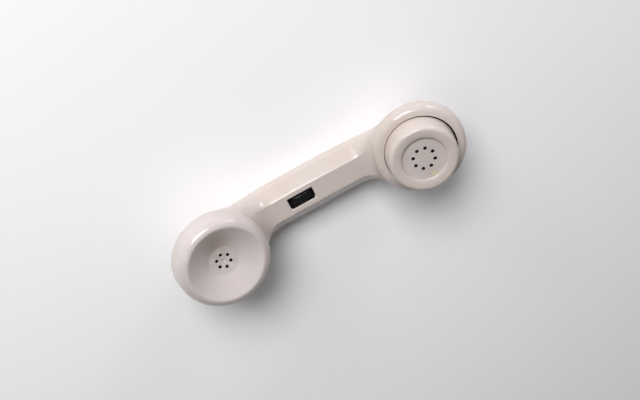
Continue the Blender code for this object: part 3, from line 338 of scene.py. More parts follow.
def piercing_tree():
    """Drills a circle of flared holes down through a shell whose upper face is at Level."""
    t = Tree("piercing", {"Count": 6, "Circle": 0.005, "Turn": 0.0, "Hole": 0.001,
                          "Flare": 0.0002, "Level": 0.0, "Depth": 0.004})
    circle = t.node("GeometryNodeMeshCircle", {"Vertices": t.inputs["Count"],
                                               "Radius": t.inputs["Circle"]})
    ring = t.node("GeometryNodeTransform", {
        "Geometry": circle, "Translation": t.vector(z=t.inputs["Level"]),
        "Rotation": t.vector(z=t.inputs["Turn"])})
    drill = t.node("GeometryNodeMeshCylinder", {
        "Vertices": HOLE_SIDES, "Radius": t.inputs["Hole"],
        "Depth": t.math("MULTIPLY", t.inputs["Depth"], 2.0)})
    wide = t.math("MULTIPLY", t.inputs["Flare"], 2.0)
    tip = t.node("GeometryNodeMeshCone", {
        "Vertices": HOLE_SIDES, "Radius Bottom": t.inputs["Hole"],
        "Radius Top": t.math("ADD", t.inputs["Hole"], wide), "Depth": wide})
    sink = t.node("GeometryNodeTransform", {
        "Geometry": tip, "Translation": t.vector(z=t.math("MULTIPLY", t.inputs["Flare"], -1.0))})
    shell = t.inputs["Geometry"]
    for tool in (drill, sink):
        shell = t.node("GeometryNodeMeshBoolean", {"Mesh 1": shell, "Mesh 2": t.spread(ring, tool)},
                       operation="DIFFERENCE", solver="EXACT")
    return t.finish(shell)


def ribbing_tree():
    """Sets fine round ribs on the rim of a drum that turns about Z."""
    t = Tree("ribbing", {"Count": 36, "Circle": 0.01, "Rib": 0.0004, "Width": 0.004})
    circle = t.node("GeometryNodeMeshCircle", {"Vertices": t.inputs["Count"],
                                               "Radius": t.inputs["Circle"]})
    rib = t.node("GeometryNodeMeshCylinder", {
        "Vertices": RIB_SIDES, "Radius": t.inputs["Rib"], "Depth": t.inputs["Width"]})
    joined = t.node("GeometryNodeMeshBoolean",
                    {"Mesh 2": [t.inputs["Geometry"], t.spread(circle, rib)]},
                    operation="UNION", solver="EXACT")
    return t.finish(joined)


TURNING = turning_tree()
PIERCING = piercing_tree()
RIBBING = ribbing_tree()


def points_mesh(points):
    mesh = bpy.data.meshes.new("points")
    mesh.from_pydata(points, [], [])
    return mesh


def arc(r, h, wide, tall, start, end):
    """Outline points on an ellipse about (r, h), from one angle to another, in degrees."""
    first, last = math.radians(start), math.radians(end)
    steps = max(2, math.ceil(abs(last - first) / ARC_STEP))
    turn = [first + (last - first) * k / steps for k in range(steps + 1)]
    return [(r + wide * math.cos(a), h + tall * math.sin(a)) for a in turn]


def bend(start, end, shares):
    """Outline points from start to end, round a corner at shares of the way across and up."""
    (r0, h0), (r1, h1) = start, end
    across, up = shares
    corner = (r0 + (r1 - r0) * across, h0 + (h1 - h0) * up)
    points = []
    for k in range(1, LIP_STEPS + 1):
        t = k / LIP_STEPS
        s = 1 - t
        r = s * s * r0 + 2 * s * t * corner[0] + t * t * r1
        h = s * s * h0 + 2 * s * t * corner[1] + t * t * h1
        points.append((r, h))
    return points


def turned(outline, material):
    """Turn an outline. It starts and ends on the axis, or else it is closed."""
    closed = outline if outline[0][0] == 0 else outline + outline[:1]
    return TURNING.grow(points_mesh([(r, 0, h) for r, h in closed]), material,
                        {"Points": len(closed), "Sides": FINE_SIDES})


def tidy(mesh, place=None, angle=SHARP_ANGLE):
    """Merge what touches, face all faces outwards, shade them smooth and set their place."""
    shape = bmesh.new()
    shape.from_mesh(mesh)
    bmesh.ops.remove_doubles(shape, verts=shape.verts, dist=MERGE_DISTANCE)
    bmesh.ops.recalc_face_normals(shape, faces=shape.faces)
    shape.to_mesh(mesh)
    shape.free()
    if place:
        mesh.transform(place)
    mesh.shade_smooth()
    mesh.set_sharp_from_angle(angle=math.radians(angle))
    return mesh


def settle(name, mesh, body, nodes):
    """Put a finished piece in the scene, on its body, in place of the model's nodes."""
    piece = bpy.data.objects.new(name, mesh)
    bpy.context.scene.collection.objects.link(piece)
    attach(piece, body)
    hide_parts(*nodes)


# The handle's section, from the inner flat over the side: angle, half-width and depth
SECTION_CORNERS = [
    (90, 0, 0),
    (64, FLAT_HALF_WIDTH, 0),
    (52, RIDGE_HALF_WIDTH, RIDGE_DROP),
    (24, FACET_HALF_WIDTH, FACET_DROP),
    (0, BAR_HALF_WIDTH, WIDEST_DROP),
]


def bar_section(angle):
    """Half-width and depth of the bar at an angle, each from -1 to 1, with sharp corners."""
    middle = 2 * WIDEST_DROP / BAR_DEPTH - 1
    if angle < 0:
        down = math.sin(math.radians(angle)) / math.sin(math.radians(-REST_FLAT_ANGLE))
        return Vector((math.cos(math.radians(angle)), middle + (1 - middle) * min(1, down)))
    for (a0, w0, d0), (a1, w1, d1) in zip(SECTION_CORNERS, SECTION_CORNERS[1:]):
        if a1 <= angle <= a0:
            share = (a0 - angle) / (a0 - a1)
            width = w0 + (w1 - w0) * share
            depth = d0 + (d1 - d0) * share
            return Vector((width / BAR_HALF_WIDTH, 2 * depth / BAR_DEPTH - 1))


def soft_section(angle):
    """The section with rounded corners, the mean of the sharp one over a few degrees."""
    total = Vector((0, 0))
    for k in range(-SOFTENING_STEPS, SOFTENING_STEPS + 1):
        near = angle + CORNER_SOFTNESS * k / SOFTENING_STEPS
        if abs(near) > 90:
            place = bar_section(math.copysign(180, near) - near)
            place.x = -place.x
        else:
            place = bar_section(near)
        total += place
    return total / (2 * SOFTENING_STEPS + 1)


SECTION_ANGLES = [90 - 180 * k / SECTION_STEPS for k in range(SECTION_STEPS + 1)]
SECTION = [(angle, soft_section(angle)) for angle in SECTION_ANGLES]


def section_ring(inner, outer, half_width, roundness, side, lean=0):
    """Points around one section, between its inner and outer middles in the side view."""
    half = []
    for angle, place in SECTION:
        across = place.x + (math.cos(math.radians(angle)) - place.x) * roundness
        down = place.y + (-math.sin(math.radians(angle)) - place.y) * roundness
        down -= lean * (1 - down * down)
        spot = inner.lerp(outer, (1 + down) / 2)
        half.append((side * spot.x, across * half_width, spot.y))
    return half + [(x, -y, z) for x, y, z in half[-2:0:-1]]


def ease(t):
    return t * t * (3 - 2 * t)


def flat_height(x):
    return BAR_DEPTH + BAR_ARCH * (x / ARCH_HALF_LENGTH) ** 2


def bar_width(x):
    return BAR_HALF_WIDTH + BAR_SWELL * (1 - (x / ARCH_HALF_LENGTH) ** 2)


def bar_ring(x, wall):
    inner = Vector((x, flat_height(x) - wall))
    outer = Vector((x, wall))
    return section_ring(inner, outer, bar_width(x) - wall, 0, 1)


def back_curve(head, wall, end, t):
    """The back's side view, from under the flat's end to the far edge of the head."""
    turn = math.radians(90) * t
    power = 2 / HEAD_SQUARENESS
    u = head.flat_end + (end.x - head.flat_end) * math.sin(turn) ** power
    rise = 1 - max(0, math.cos(turn)) ** power
    return Vector((u, wall + (end.y - wall) * rise))


def neck_curve(head, wall, end, t):
    """The inner side of the neck, a fillet from the flat's end up to the head."""
    start = Vector((head.flat_end, flat_height(head.flat_end) - wall))
    corner = Vector((end.x - (end.y - start.y) / math.tan(head.slope), start.y))
    first = start.lerp(corner, NECK_FULLNESS)
    second = end.lerp(corner, NECK_FULLNESS)
    s = 1 - t
    return s ** 3 * start + 3 * s * s * t * first + 3 * s * t * t * second + t ** 3 * end


def head_rings(head, wall, h, radius, steps):
    """Sections that turn from the bar's end to the circle of the given radius at h."""
    near = head.point(h, -radius)
    far = head.point(h, radius)
    start_width = bar_width(head.flat_end) - wall
    rings = []
    for k in range(1, steps + 1):
        t = k / steps
        inner = neck_curve(head, wall, near, t)
        outer = back_curve(head, wall, far, t)
        width = start_width + (radius - start_width) * t ** HEAD_GROWTH
        lean = HEAD_LEAN * math.sin(math.pi * t)
        rings.append(section_ring(inner, outer, width, ease(t), head.side, lean))
    return rings


def round_ring(head, h, radius):
    return section_ring(head.point(h, -radius), head.point(h, radius), radius, 1, head.side)


def shoulder_rings(head):
    """The rounded edge where the skin meets the cap's seam, from the skin inwards."""
    rings = []
    for degrees in SEAM_ANGLES:
        turn = math.radians(degrees)
        h = -head.skirt_depth - SEAM_ROUND * (1 - math.sin(turn))
        r = head.skirt_radius - SEAM_ROUND * (1 - math.cos(turn))
        rings.append(round_ring(head, h, r))
    return rings


def handle_rings():
    """Rings of the whole skin: out along the back of the receiver and home through the bore."""
    r, t = RECEIVER, TRANSMITTER
    span = r.flat_end + t.flat_end
    outside = []
    for head in (r, t):
        low = -head.skirt_depth - SEAM_ROUND
        outside.append(head_rings(head, 0, low, head.skirt_radius, HEAD_RINGS)
                       + shoulder_rings(head))
    rings = [round_ring(r, r.neck_top, NECK_RADIUS), round_ring(r, -r.skirt_depth, NECK_RADIUS)]
    rings += outside[0][::-1]
    rings += [bar_ring(-r.flat_end + span * k / BAR_RINGS, 0) for k in range(BAR_RINGS + 1)]
    rings += outside[1]
    rings += [round_ring(t, -t.skirt_depth, NECK_RADIUS), round_ring(t, t.neck_top, NECK_RADIUS)]
    rings += [round_ring(t, t.neck_top, BORE_RADIUS), round_ring(t, -t.ledge_depth, BORE_RADIUS)]
    rings.append(round_ring(t, -t.ledge_depth, LEDGE_RADIUS))
    rings += head_rings(t, WALL, -t.cup_depth, LEDGE_RADIUS, INNER_HEAD_RINGS)[::-1]
    rings += [bar_ring(-r.flat_end + span * k / INNER_BAR_RINGS, WALL)
              for k in range(INNER_BAR_RINGS, -1, -1)]
    rings += head_rings(r, WALL, -r.cup_depth, LEDGE_RADIUS, INNER_HEAD_RINGS)
    rings.append(round_ring(r, -r.ledge_depth, LEDGE_RADIUS))
    rings += [round_ring(r, -r.ledge_depth, BORE_RADIUS), round_ring(r, r.neck_top, BORE_RADIUS)]
    return rings


def join_rows(shape, rows):
    """Faces between each ring of points and the next."""
    for row, following in zip(rows, rows[1:]):
        for k in range(len(row)):
            j = (k + 1) % len(row)
            shape.faces.new((row[k], row[j], following[j], following[k]))


def closed_mesh(name, shape):
    """A mesh of a closed bmesh, its faces pointing outwards."""
    bmesh.ops.recalc_face_normals(shape, faces=shape.faces)
    mesh = bpy.data.meshes.new(name)
    shape.to_mesh(mesh)
    shape.free()
    return mesh


def loft_mesh(name, rings):
    """A closed tube through a loop of closed rings."""
    shape = bmesh.new()
    rows = [[shape.verts.new(co) for co in ring] for ring in rings]
    join_rows(shape, rows + rows[:1])
    return closed_mesh(name, shape)


def rounded_outline(half_long, half_wide, corner):
    """A rectangle with round corners, as (x, y) points."""
    outline = []
    for quarter, (sx, sy) in enumerate(((1, 1), (-1, 1), (-1, -1), (1, -1))):
        for k in range(CORNER_STEPS + 1):
            a = math.radians(90) * (quarter + k / CORNER_STEPS)
            outline.append((sx * (half_long - corner) + corner * math.cos(a),
                            sy * (half_wide - corner) + corner * math.sin(a)))
    return outline


def cutter_mesh(levels):
    """A closed stack of rounded rectangles, each given as (z, half-length, half-width, corner)."""
    shape = bmesh.new()
    rows = []
    for z, half_long, half_wide, corner in levels:
        outline = rounded_outline(half_long, half_wide, corner)
        rows.append([shape.verts.new((x, y, z)) for x, y in outline])
    join_rows(shape, rows)
    shape.faces.new(rows[0])
    shape.faces.new(rows[-1])
    return closed_mesh("cutter", shape)


def cut(mesh, tools):
    """The mesh with each (tool mesh, place) taken from it."""
    body = bpy.data.objects.new("cut_body", mesh)
    bpy.context.scene.collection.objects.link(body)
    helpers = []
    for tool, place in tools:
        helper = bpy.data.objects.new("cut_tool", tool)
        bpy.context.scene.collection.objects.link(helper)
        helper.matrix_world = place
        helpers.append(helper)
        step = body.modifiers.new("cut", "BOOLEAN")
        step.operation = "DIFFERENCE"
        step.solver = "EXACT"
        step.object = helper
    result = evaluated_mesh(body)
    for helper in helpers + [body]:
        bpy.data.objects.remove(helper)
    return result


def chamfered(half_long, half_wide, corner, low, top, chamfer):
    """Levels of a cutter whose mouth opens by the chamfer at the height top."""
    return [(low, half_long, half_wide, corner), (top - chamfer, half_long, half_wide, corner),
            (top + chamfer, half_long + 2 * chamfer, half_wide + 2 * chamfer, corner + chamfer)]


def jack_place():
    """The jack's frame, with its Z pointing out of the socket."""
    far = TRANSMITTER.point(-TRANSMITTER.skirt_depth, TRANSMITTER.skirt_radius)
    half = JACK_TALL / 2
    drop = 1 - (JACK_HEIGHT - half * math.cos(JACK_PITCH)) / far.y
    reach = (1 - drop ** HEAD_SQUARENESS) ** (1 / HEAD_SQUARENESS)
    start = TRANSMITTER.flat_end
    edge = start + (far.x - start) * reach
    return Matrix.Translation((edge + half * math.sin(JACK_PITCH), 0, JACK_HEIGHT)) @ \
        Matrix.Rotation(math.radians(90) + JACK_PITCH, 4, "Y")


def make_handle(material):
    """The one-piece moulding: the faceted bar, both heads' bodies, the slot and the jack pocket."""
    mesh = loft_mesh("handle_shell", handle_rings())
    top = flat_height(SLOT_X)
    slot = cutter_mesh(chamfered(SLOT_LENGTH / 2, SLOT_WIDTH / 2, SLOT_CORNER,
                                 top - 2 * WALL, top, SLOT_CHAMFER))
    gap = CLEARANCE
    pocket = cutter_mesh([(z, JACK_TALL / 2 + gap, JACK_WIDTH / 2 + gap, gap)
                          for z in (-JACK_LENGTH, JACK_LENGTH)])
    mesh = cut(mesh, [(slot, Matrix.Translation((SLOT_X, 0, 0))), (pocket, jack_place())])
    mesh.materials.clear()
    mesh.materials.append(material)
    mesh = tidy(mesh, angle=HANDLE_SHARP_ANGLE)
    settle("handle_shell", mesh, "handset", ["handle"])


def seam_edge(radius, low):
    """Outline down a cap's skirt and round its lower edge, at the seam with the handle."""
    turn = arc(radius - SEAM_ROUND, low + SEAM_ROUND, SEAM_ROUND, SEAM_ROUND, 0, -90)
    return [(radius, low + SEAM_ROUND)] + turn[1:]


def ear_bowl():
    """Outline of the cap's upper side: its dimple, its floor, and the wall up to the crest."""
    dimple, deep = EARCAP_DIMPLE_RADIUS, EARCAP_DIMPLE_DEPTH
    floor, step = EARCAP_FLOOR_RADIUS, EARCAP_FLOOR_STEP
    mouth, lip = EARCAP_BOWL_TOP_RADIUS, EARCAP_BOWL_TOP_HEIGHT
    outline = [(0, -deep), (EARCAP_DIMPLE_CONE * dimple, -EARCAP_DIMPLE_CONE * deep)]
    outline += [(dimple, -EARCAP_DIMPLE_EDGE), (EARCAP_DIMPLE_SPREAD * dimple, 0)]
    outline += [(floor - step, 0), (floor, EARCAP_STEP_START * step)]
    for k in range(1, BOWL_STEPS + 1):
        share = k / BOWL_STEPS
        climb = EARCAP_BOWL_STRAIGHT * share + (1 - EARCAP_BOWL_STRAIGHT) * share * share
        outline.append((floor + (mouth - floor) * share, step + (lip - step) * climb))
    crest = (EARCAP_CREST_RADIUS, EARCAP_CREST_HEIGHT)
    return outline + bend((mouth, lip), crest, EARCAP_LIP_BEND)


def make_ear_cap(material):
    """The screw-on cap: a round rim, a bowl and a flat floor with six holes and a dimple."""
    crest, drop = EARCAP_CREST_RADIUS, EARCAP_SHOULDER_DROP
    rib, thick = EARCAP_RIB_RADIUS, EARCAP_FLOOR_THICKNESS
    skirt = -RECEIVER_SKIRT_DEPTH + CLEARANCE
    ceiling = RECEIVER.neck_top + CLEARANCE
    inner = NECK_RADIUS + CLEARANCE
    bore = BORE_RADIUS - CLEARANCE
    outline = ear_bowl()
    outline += arc(crest, -drop, EARCAP_RADIUS - crest, EARCAP_CREST_HEIGHT + drop, 90, 0)[1:]
    outline += seam_edge(RECEIVER_SKIRT_RADIUS, skirt)
    outline += [(inner, skirt), (inner, ceiling), (bore, ceiling)]
    outline += [(bore, -EARCAP_RIB_DEPTH), (rib, -EARCAP_RIB_DEPTH)]
    outline += [(rib, EARCAP_BOWL_TOP_HEIGHT - 2 * thick), (EARCAP_FLOOR_RADIUS, -thick)]
    outline.append((0, -thick))
    mesh = PIERCING.grow(turned(outline, material), material, {
        **EARCAP_HOLES, "Flare": HOLE_FLARE, "Level": 0.0, "Depth": 2 * thick})
    settle("ear_cap", tidy(mesh, RECEIVER.place), "handset", ["receiver_cap"])


def make_mouth_ring(material):
    """The screw ring that clamps the can."""
    nose, width = RING_NOSE, RING_RIM_WIDTH
    skirt = -TRANSMITTER_SKIRT_DEPTH + CLEARANCE
    inner = NECK_RADIUS + CLEARANCE
    outline = arc(RING_INNER_RADIUS + nose, RING_CROWN - nose, nose, nose, 180, 90)
    outline += arc(RING_RADIUS - width, -RING_SHOULDER_DROP, width,
                   RING_CROWN + RING_SHOULDER_DROP, 90, 0)
    outline += seam_edge(TRANSMITTER_SKIRT_RADIUS, skirt)
    outline += [(inner, skirt), (inner, RING_LIP_HEIGHT), (RING_INNER_RADIUS, RING_LIP_HEIGHT)]
    mesh = tidy(turned(outline, material), TRANSMITTER.place)
    settle("mouth_ring", mesh, "handset", ["transmitter_ring"])


def make_mouth_can(material):
    """The raised can under the ring, with the seat for its face."""
    flange = RING_LIP_HEIGHT - CLEARANCE
    low = TRANSMITTER.neck_top + CLEARANCE
    crest, peak = HOUSING_CREST_RADIUS, HOUSING_CREST_HEIGHT
    base, top = HOUSING_BASE_RADIUS, HOUSING_TOP_RADIUS
    mouth = FACE_RADIUS + FACE_GAP
    shelf = FACE_HEIGHT - FACE_THICKNESS - CLEARANCE
    under = shelf - HOUSING_WALL
    seat = FACE_RADIUS - FACE_SEAT_WIDTH
    rim = NECK_RADIUS - HOUSING_FLANGE_INSET
    outline = [(rim, low), (rim, flange), (base, flange), (base, RING_CROWN)]
    outline += arc(crest, HOUSING_SIDE_HEIGHT, top - crest, peak - HOUSING_SIDE_HEIGHT, 0, 90)
    outline += arc(crest, HOUSING_LIP_HEIGHT, crest - mouth, peak - HOUSING_LIP_HEIGHT, 90, 180)[1:]
    outline += [(mouth, shelf), (seat, shelf), (seat, under)]
    outline += [(top - HOUSING_WALL, under), (base - HOUSING_WALL, low)]
    mesh = tidy(turned(outline, material), CAN_PLACE)
    settle("mouth_can", mesh, "handset", ["transmitter_housing"])


def make_mouth_face(material):
    """The pierced disc let into the can."""
    edge, low = FACE_EDGE, FACE_HEIGHT - FACE_THICKNESS
    outline = [(0, FACE_HEIGHT), (FACE_RADIUS - edge, FACE_HEIGHT)]
    outline += [(FACE_RADIUS, FACE_HEIGHT - edge), (FACE_RADIUS, low), (0, low)]
    mesh = PIERCING.grow(turned(outline, material), material, {
        **FACE_HOLES, "Flare": HOLE_FLARE, "Level": FACE_HEIGHT, "Depth": 2 * FACE_THICKNESS})
    settle("mouth_face", tidy(mesh, CAN_PLACE), "handset", ["transmitter_face"])


def make_wheel(material):
    """The thumbwheel: a drum with fine ribs across its rim."""
    half, rib = WHEEL_WIDTH / 2, WHEEL_RIB_RADIUS
    drum = WHEEL_RADIUS - rib
    outline = [(WHEEL_BORE, -half), (drum - rib, -half), (drum, -half + rib)]
    outline += [(drum, half - rib), (drum - rib, half), (WHEEL_BORE, half)]
    mesh = RIBBING.grow(turned(outline, material), material, {
        "Count": WHEEL_RIBS, "Circle": drum, "Rib": rib, "Width": WHEEL_WIDTH - 2 * rib})
    height = flat_height(SLOT_X) + WHEEL_PROUD - WHEEL_RADIUS
    place = Matrix.Translation((SLOT_X, 0, height)) @ Matrix.Rotation(math.radians(-90), 4, "X")
    settle("thumbwheel", tidy(mesh, place), "volume_control", ["volume_wheel"])


class Paint(Nodes):
    """A node-based material, built up from its own object coordinates."""

    def __init__(self, name):
        self.material = bpy.data.materials.new(name)
        self.material.use_nodes = True
        super().__init__(self.material.node_tree)
        self.shader = self.tree.nodes["Principled BSDF"]
        self.place = self.node("ShaderNodeTexCoord", out="Object")

    def noise(self, scale, detail=3.0, stretch=None):
        place = self.place
        if stretch:
            place = self.node("ShaderNodeMapping", {"Vector": place, "Scale": stretch})
        return self.node("ShaderNodeTexNoise", {"Vector": place, "Scale": scale,
                                                "Detail": detail})

    def span(self, value, low, high, start=0.3, end=0.7):
        """A value mapped from start and end to low and high."""
        return self.node("ShaderNodeMapRange", {"Value": value, "From Min": start,
                         "From Max": end, "To Min": low, "To Max": high})

    def mix(self, share, first, second):
        """One colour laid over another by a share from 0 to 1."""
        colours = [value if isinstance(value, bpy.types.NodeSocket) else (*value, 1)
                   for value in (first, second)]
        return self.node("ShaderNodeMix", {0: share, 6: colours[0], 7: colours[1]}, out=2,
                         data_type="RGBA")

    def spot(self, centre, radius, softness):
        """1 inside a small ball about a point, and 0 outside it."""
        distance = self.node("ShaderNodeVectorMath", {0: self.place, 1: centre}, out="Value",
                             operation="DISTANCE")
        return self.span(distance, 1.0, 0.0, radius * (1 - softness), radius)

    def stain_or_shade(self, colour, centre, radius, softness, strength, tint):
        """Lay a soft round stain or painted shade on a colour."""
        share = self.math("MULTIPLY", self.spot(centre, radius, softness), strength)
        return self.mix(share, colour, tint)

    def head_place(self, head):
        """Height above a head's widest circle and distance from its axis."""
        back = head.place.inverted()
        local = self.parts(self.node("ShaderNodeMapping", {
            "Vector": self.place, "Location": back.to_translation(),
            "Rotation": back.to_euler()}))
        flat = self.vector(local["X"], local["Y"])
        return local["Z"], self.node("ShaderNodeVectorMath", {0: flat}, out="Value",
                                     operation="LENGTH")

    def recess_shade(self, colour, head, top, circle, reach):
        """Darken what lies under a height on a head, within reach of a circle round its axis, as
        painted shade.
        """
        h, r = self.head_place(head)
        under = self.span(h, 1.0, 0.0, top - RECESS_SHADE_FADE, top)
        above = self.span(h, 0.0, 1.0, top - RECESS_SHADE_DEPTH, top - RECESS_SHADE_DEPTH + RECESS_SHADE_FADE)
        away = self.math("ABSOLUTE", self.math("SUBTRACT", r, circle))
        near = self.span(away, 1.0, 0.0, reach, RECESS_SHADE_SPREAD * reach)
        share = self.math("MULTIPLY", self.math("MULTIPLY", under, above), near)
        return self.mix(share, colour, RECESS_SHADE)

    def bump(self, height, depth):
        return self.node("ShaderNodeBump", {"Height": height, "Distance": depth, "Strength": 1.0})

    def set(self, **values):
        """Set or link the shader's own sockets."""
        for label, value in values.items():
            socket = self.shader.inputs[label.replace("_", " ")]
            if isinstance(value, bpy.types.NodeSocket):
                self.tree.links.new(value, socket)
            else:
                socket.default_value = value
        return self.material


# Painted shade in the holes and in the seam round the mouthpiece's can. It starts at a drop under
# the upper face, and reaches over the holes by a share of their radius.
RECESS_SHADE = (0.015, 0.012, 0.010)
RECESS_SHADE_FADE = 0.0004
RECESS_SHADE_DEPTH = 0.0045
RECESS_SHADE_SPREAD = 1.1
EARCAP_SHADE_DROP = 0.00005
EARCAP_SHADE_REACH = 1.3
FACE_SHADE_DROP = 0.0001
FACE_SHADE_REACH = 2
SEAM_SHADE_DROP = 0.0004
SEAM_SHADE_WIDTH = 0.001

# Faint marks above the volume slot, where the finger lands: their places, and the radius,
# softness, strength and colour of each
SLOT_MARKS = [(-0.0025, 0.0076, 0.0230), (0.0000, 0.0057, 0.0230), (0.0019, 0.0042, 0.0230),
              (-0.0157, 0.0085, 0.0221), (-0.0120, 0.0064, 0.0231)]
SLOT_MARK = (0.0007, 0.8, 0.45, (0.30, 0.21, 0.15))
# Painted shade: a brown cast on the wall of the ear bowl, where the rim's shadow falls: its place,
# radius, softness, strength and colour
BOWL_PAINTED_SHADE = ((-0.0700, 0.0145, 0.0505), 0.011, 0.7, 0.35, (0.34, 0.22, 0.155))
# A yellowed drop with a ragged edge, near the edge of the mouthpiece's face
FACE_STAIN = (0.0710, -0.0123, 0.0560)
FACE_STAIN_RADIUS = 0.0019
FACE_STAIN_SOFTNESS = 0.5
FACE_STAIN_GRAIN = 700
FACE_STAIN_EDGE = (0.2, 0.45)
FACE_STAIN_STRENGTH = 0.9
FACE_STAIN_COLOUR = (0.66, 0.60, 0.30)

# Mouldings that show: darkest and lightest colour, range of roughness, and the scale of each
# pattern, as its grains per metre
IVORY_COLOURS = ((0.60, 0.525, 0.475), (0.64, 0.565, 0.52))
IVORY_CLOUD = 22
IVORY_WAVE = 90
IVORY_WAVE_DEPTH = 0.00006
IVORY_ROUGHNESS = (0.12, 0.20)
# The ear cap is a slightly cooler moulding than the rest
CAP_COLOURS = ((0.59, 0.53, 0.50), (0.63, 0.57, 0.545))
FACE_COLOURS = ((0.575, 0.505, 0.475), (0.615, 0.55, 0.52))
FACE_CLOUD = 90
FACE_GRAIN = 900
FACE_ROUGHNESS = (0.24, 0.34)
BLACK_COLOURS = ((0.006, 0.006, 0.007), (0.014, 0.013, 0.013))
BLACK_DUST = 500
BLACK_DUST_EDGE = (0.45, 0.75)
BLACK_GRAIN = 1500
BLACK_ROUGHNESS = (0.22, 0.36)
SATIN_DEPTH = 0.00002
SMEAR = 60


def plain_paint(name, dark, light, rough, grain, depth, metallic=0.0, stretch=None):
    """A finish with fine grain in its colour, roughness and surface."""
    paint = Paint(name)
    cloud = paint.noise(grain / 12)
    fine = paint.noise(grain, 4.0, stretch)
    colour = paint.mix(paint.span(cloud, 0.0, 1.0), dark, light)
    return paint.set(Base_Color=colour, Roughness=paint.span(fine, *rough),
                     Metallic=metallic, Normal=paint.bump(fine, depth))


def ivory_paint(name, dark, light):
    """Polished ivory moulding with a pink cast, slightly clouded, with faint handling marks, and
    painted shade in the ear bowl, in the ear cap's holes and in the seam round the can.
    """
    paint = Paint(name)
    colour = paint.mix(paint.span(paint.noise(IVORY_CLOUD, 2.0), 0.0, 1.0), dark, light)
    for centre in SLOT_MARKS:
        colour = paint.stain_or_shade(colour, centre, *SLOT_MARK)
    # Painted shade in the ear bowl, laid on as a brown cast
    colour = paint.stain_or_shade(colour, *BOWL_PAINTED_SHADE)
    # Painted shade down in the ear cap's holes and in the seam round the can
    colour = paint.recess_shade(colour, RECEIVER, -EARCAP_SHADE_DROP, EARCAP_HOLES["Circle"],
                         EARCAP_SHADE_REACH * EARCAP_HOLES["Hole"])
    colour = paint.recess_shade(colour, TRANSMITTER, RING_CROWN - SEAM_SHADE_DROP, RING_INNER_RADIUS,
                         SEAM_SHADE_WIDTH)
    smear = paint.noise(SMEAR, 5.0)
    wave = paint.bump(paint.noise(IVORY_WAVE, 2.0), IVORY_WAVE_DEPTH)
    return paint.set(Base_Color=colour, Roughness=paint.span(smear, *IVORY_ROUGHNESS),
                     Specular_IOR_Level=0.5, Normal=wave)


def face_paint():
    """The greyer disc of the mouthpiece, with one yellowed drop near its edge and painted shade in
    its holes.
    """
    paint = Paint("face_moulding")
    cloud = paint.noise(FACE_CLOUD, 2.0)
    colour = paint.mix(paint.span(cloud, 0.0, 1.0), *FACE_COLOURS)
    drop = paint.spot(FACE_STAIN, FACE_STAIN_RADIUS, FACE_STAIN_SOFTNESS)
    ragged = paint.math("MULTIPLY", drop, paint.noise(FACE_STAIN_GRAIN, 2.0))
    colour = paint.mix(paint.span(ragged, 0.0, FACE_STAIN_STRENGTH, *FACE_STAIN_EDGE), colour,
                       FACE_STAIN_COLOUR)
    # Painted shade down in the face's holes
    colour = paint.recess_shade(colour, TRANSMITTER, FACE_HEIGHT - FACE_SHADE_DROP, FACE_HOLES["Circle"],
                         FACE_SHADE_REACH * FACE_HOLES["Hole"])
    smear = paint.noise(SMEAR, 5.0)
    return paint.set(Base_Color=colour, Roughness=paint.span(smear, *FACE_ROUGHNESS),
                     Normal=paint.bump(paint.noise(FACE_GRAIN), SATIN_DEPTH))


def black_paint():
    """Satin black moulding with a dusty bloom."""
    paint = Paint("black_moulding")
    dust = paint.noise(BLACK_DUST, 5.0)
    colour = paint.mix(paint.span(dust, 0.0, 1.0, *BLACK_DUST_EDGE), *BLACK_COLOURS)
    return paint.set(Base_Color=colour, Roughness=paint.span(dust, *BLACK_ROUGHNESS),
                     Normal=paint.bump(paint.noise(BLACK_GRAIN), SATIN_DEPTH))


# Plain finishes by slot: darkest and lightest colour, range of roughness, grain per metre and
# its depth. A metal adds how metallic it is, and a drawn or wound one the stretch of its grain.
PLAIN_FINISHES = {
    "phenolic": ((0.08, 0.035, 0.02), (0.13, 0.06, 0.03), (0.4, 0.6), 800, 0.00002),
    "circuit_board": ((0.02, 0.14, 0.05), (0.03, 0.20, 0.08), (0.2, 0.35), 600, 0.00003),
    "component_body": ((0.50, 0.36, 0.20), (0.60, 0.45, 0.26), (0.4, 0.6), 900, 0.00003),
    "capacitor_sleeve": ((0.015, 0.03, 0.13), (0.02, 0.045, 0.18), (0.25, 0.4), 500, 0.00002),
    "varistor_body": ((0.26, 0.06, 0.02), (0.34, 0.09, 0.04), (0.5, 0.7), 900, 0.00004),
    "pot_case": ((0.17, 0.19, 0.21), (0.23, 0.25, 0.27), (0.3, 0.45), 700, 0.00002, 0.6),
    "plated_steel": ((0.48, 0.48, 0.49), (0.62, 0.62, 0.62), (0.28, 0.42), 900, 0.00001, 1.0,
                     (1, 8, 1)),
    "magnet": ((0.08, 0.08, 0.09), (0.13, 0.13, 0.14), (0.4, 0.6), 900, 0.00003, 0.8),
    "copper_winding": ((0.50, 0.20, 0.09), (0.70, 0.32, 0.16), (0.3, 0.45), 400, 0.00004, 1.0,
                       (1, 1, 14)),
    "brass": ((0.62, 0.44, 0.18), (0.74, 0.56, 0.27), (0.25, 0.42), 900, 0.00001, 1.0),
    "screen_cloth": ((0.004, 0.004, 0.004), (0.012, 0.012, 0.012), (0.8, 0.95), 2500, 0.0001),
    "boot_rubber": ((0.02, 0.02, 0.02), (0.04, 0.04, 0.04), (0.7, 0.85), 900, 0.00004),
    "film": ((0.70, 0.70, 0.64), (0.80, 0.80, 0.75), (0.2, 0.35), 300, 0.00001),
}

# Darkest and lightest colour of each wire's insulation
WIRE_COLOURS = {
    "red": ((0.38, 0.015, 0.015), (0.50, 0.03, 0.03)),
    "white": ((0.68, 0.68, 0.64), (0.80, 0.80, 0.77)),
    "black": ((0.01, 0.01, 0.01), (0.02, 0.02, 0.02)),
    "yellow": ((0.62, 0.48, 0.03), (0.76, 0.62, 0.08)),
    "green": ((0.015, 0.25, 0.06), (0.03, 0.34, 0.10)),
}
WIRE_ROUGHNESS = (0.4, 0.55)
WIRE_GRAIN = (600, 0.00002)

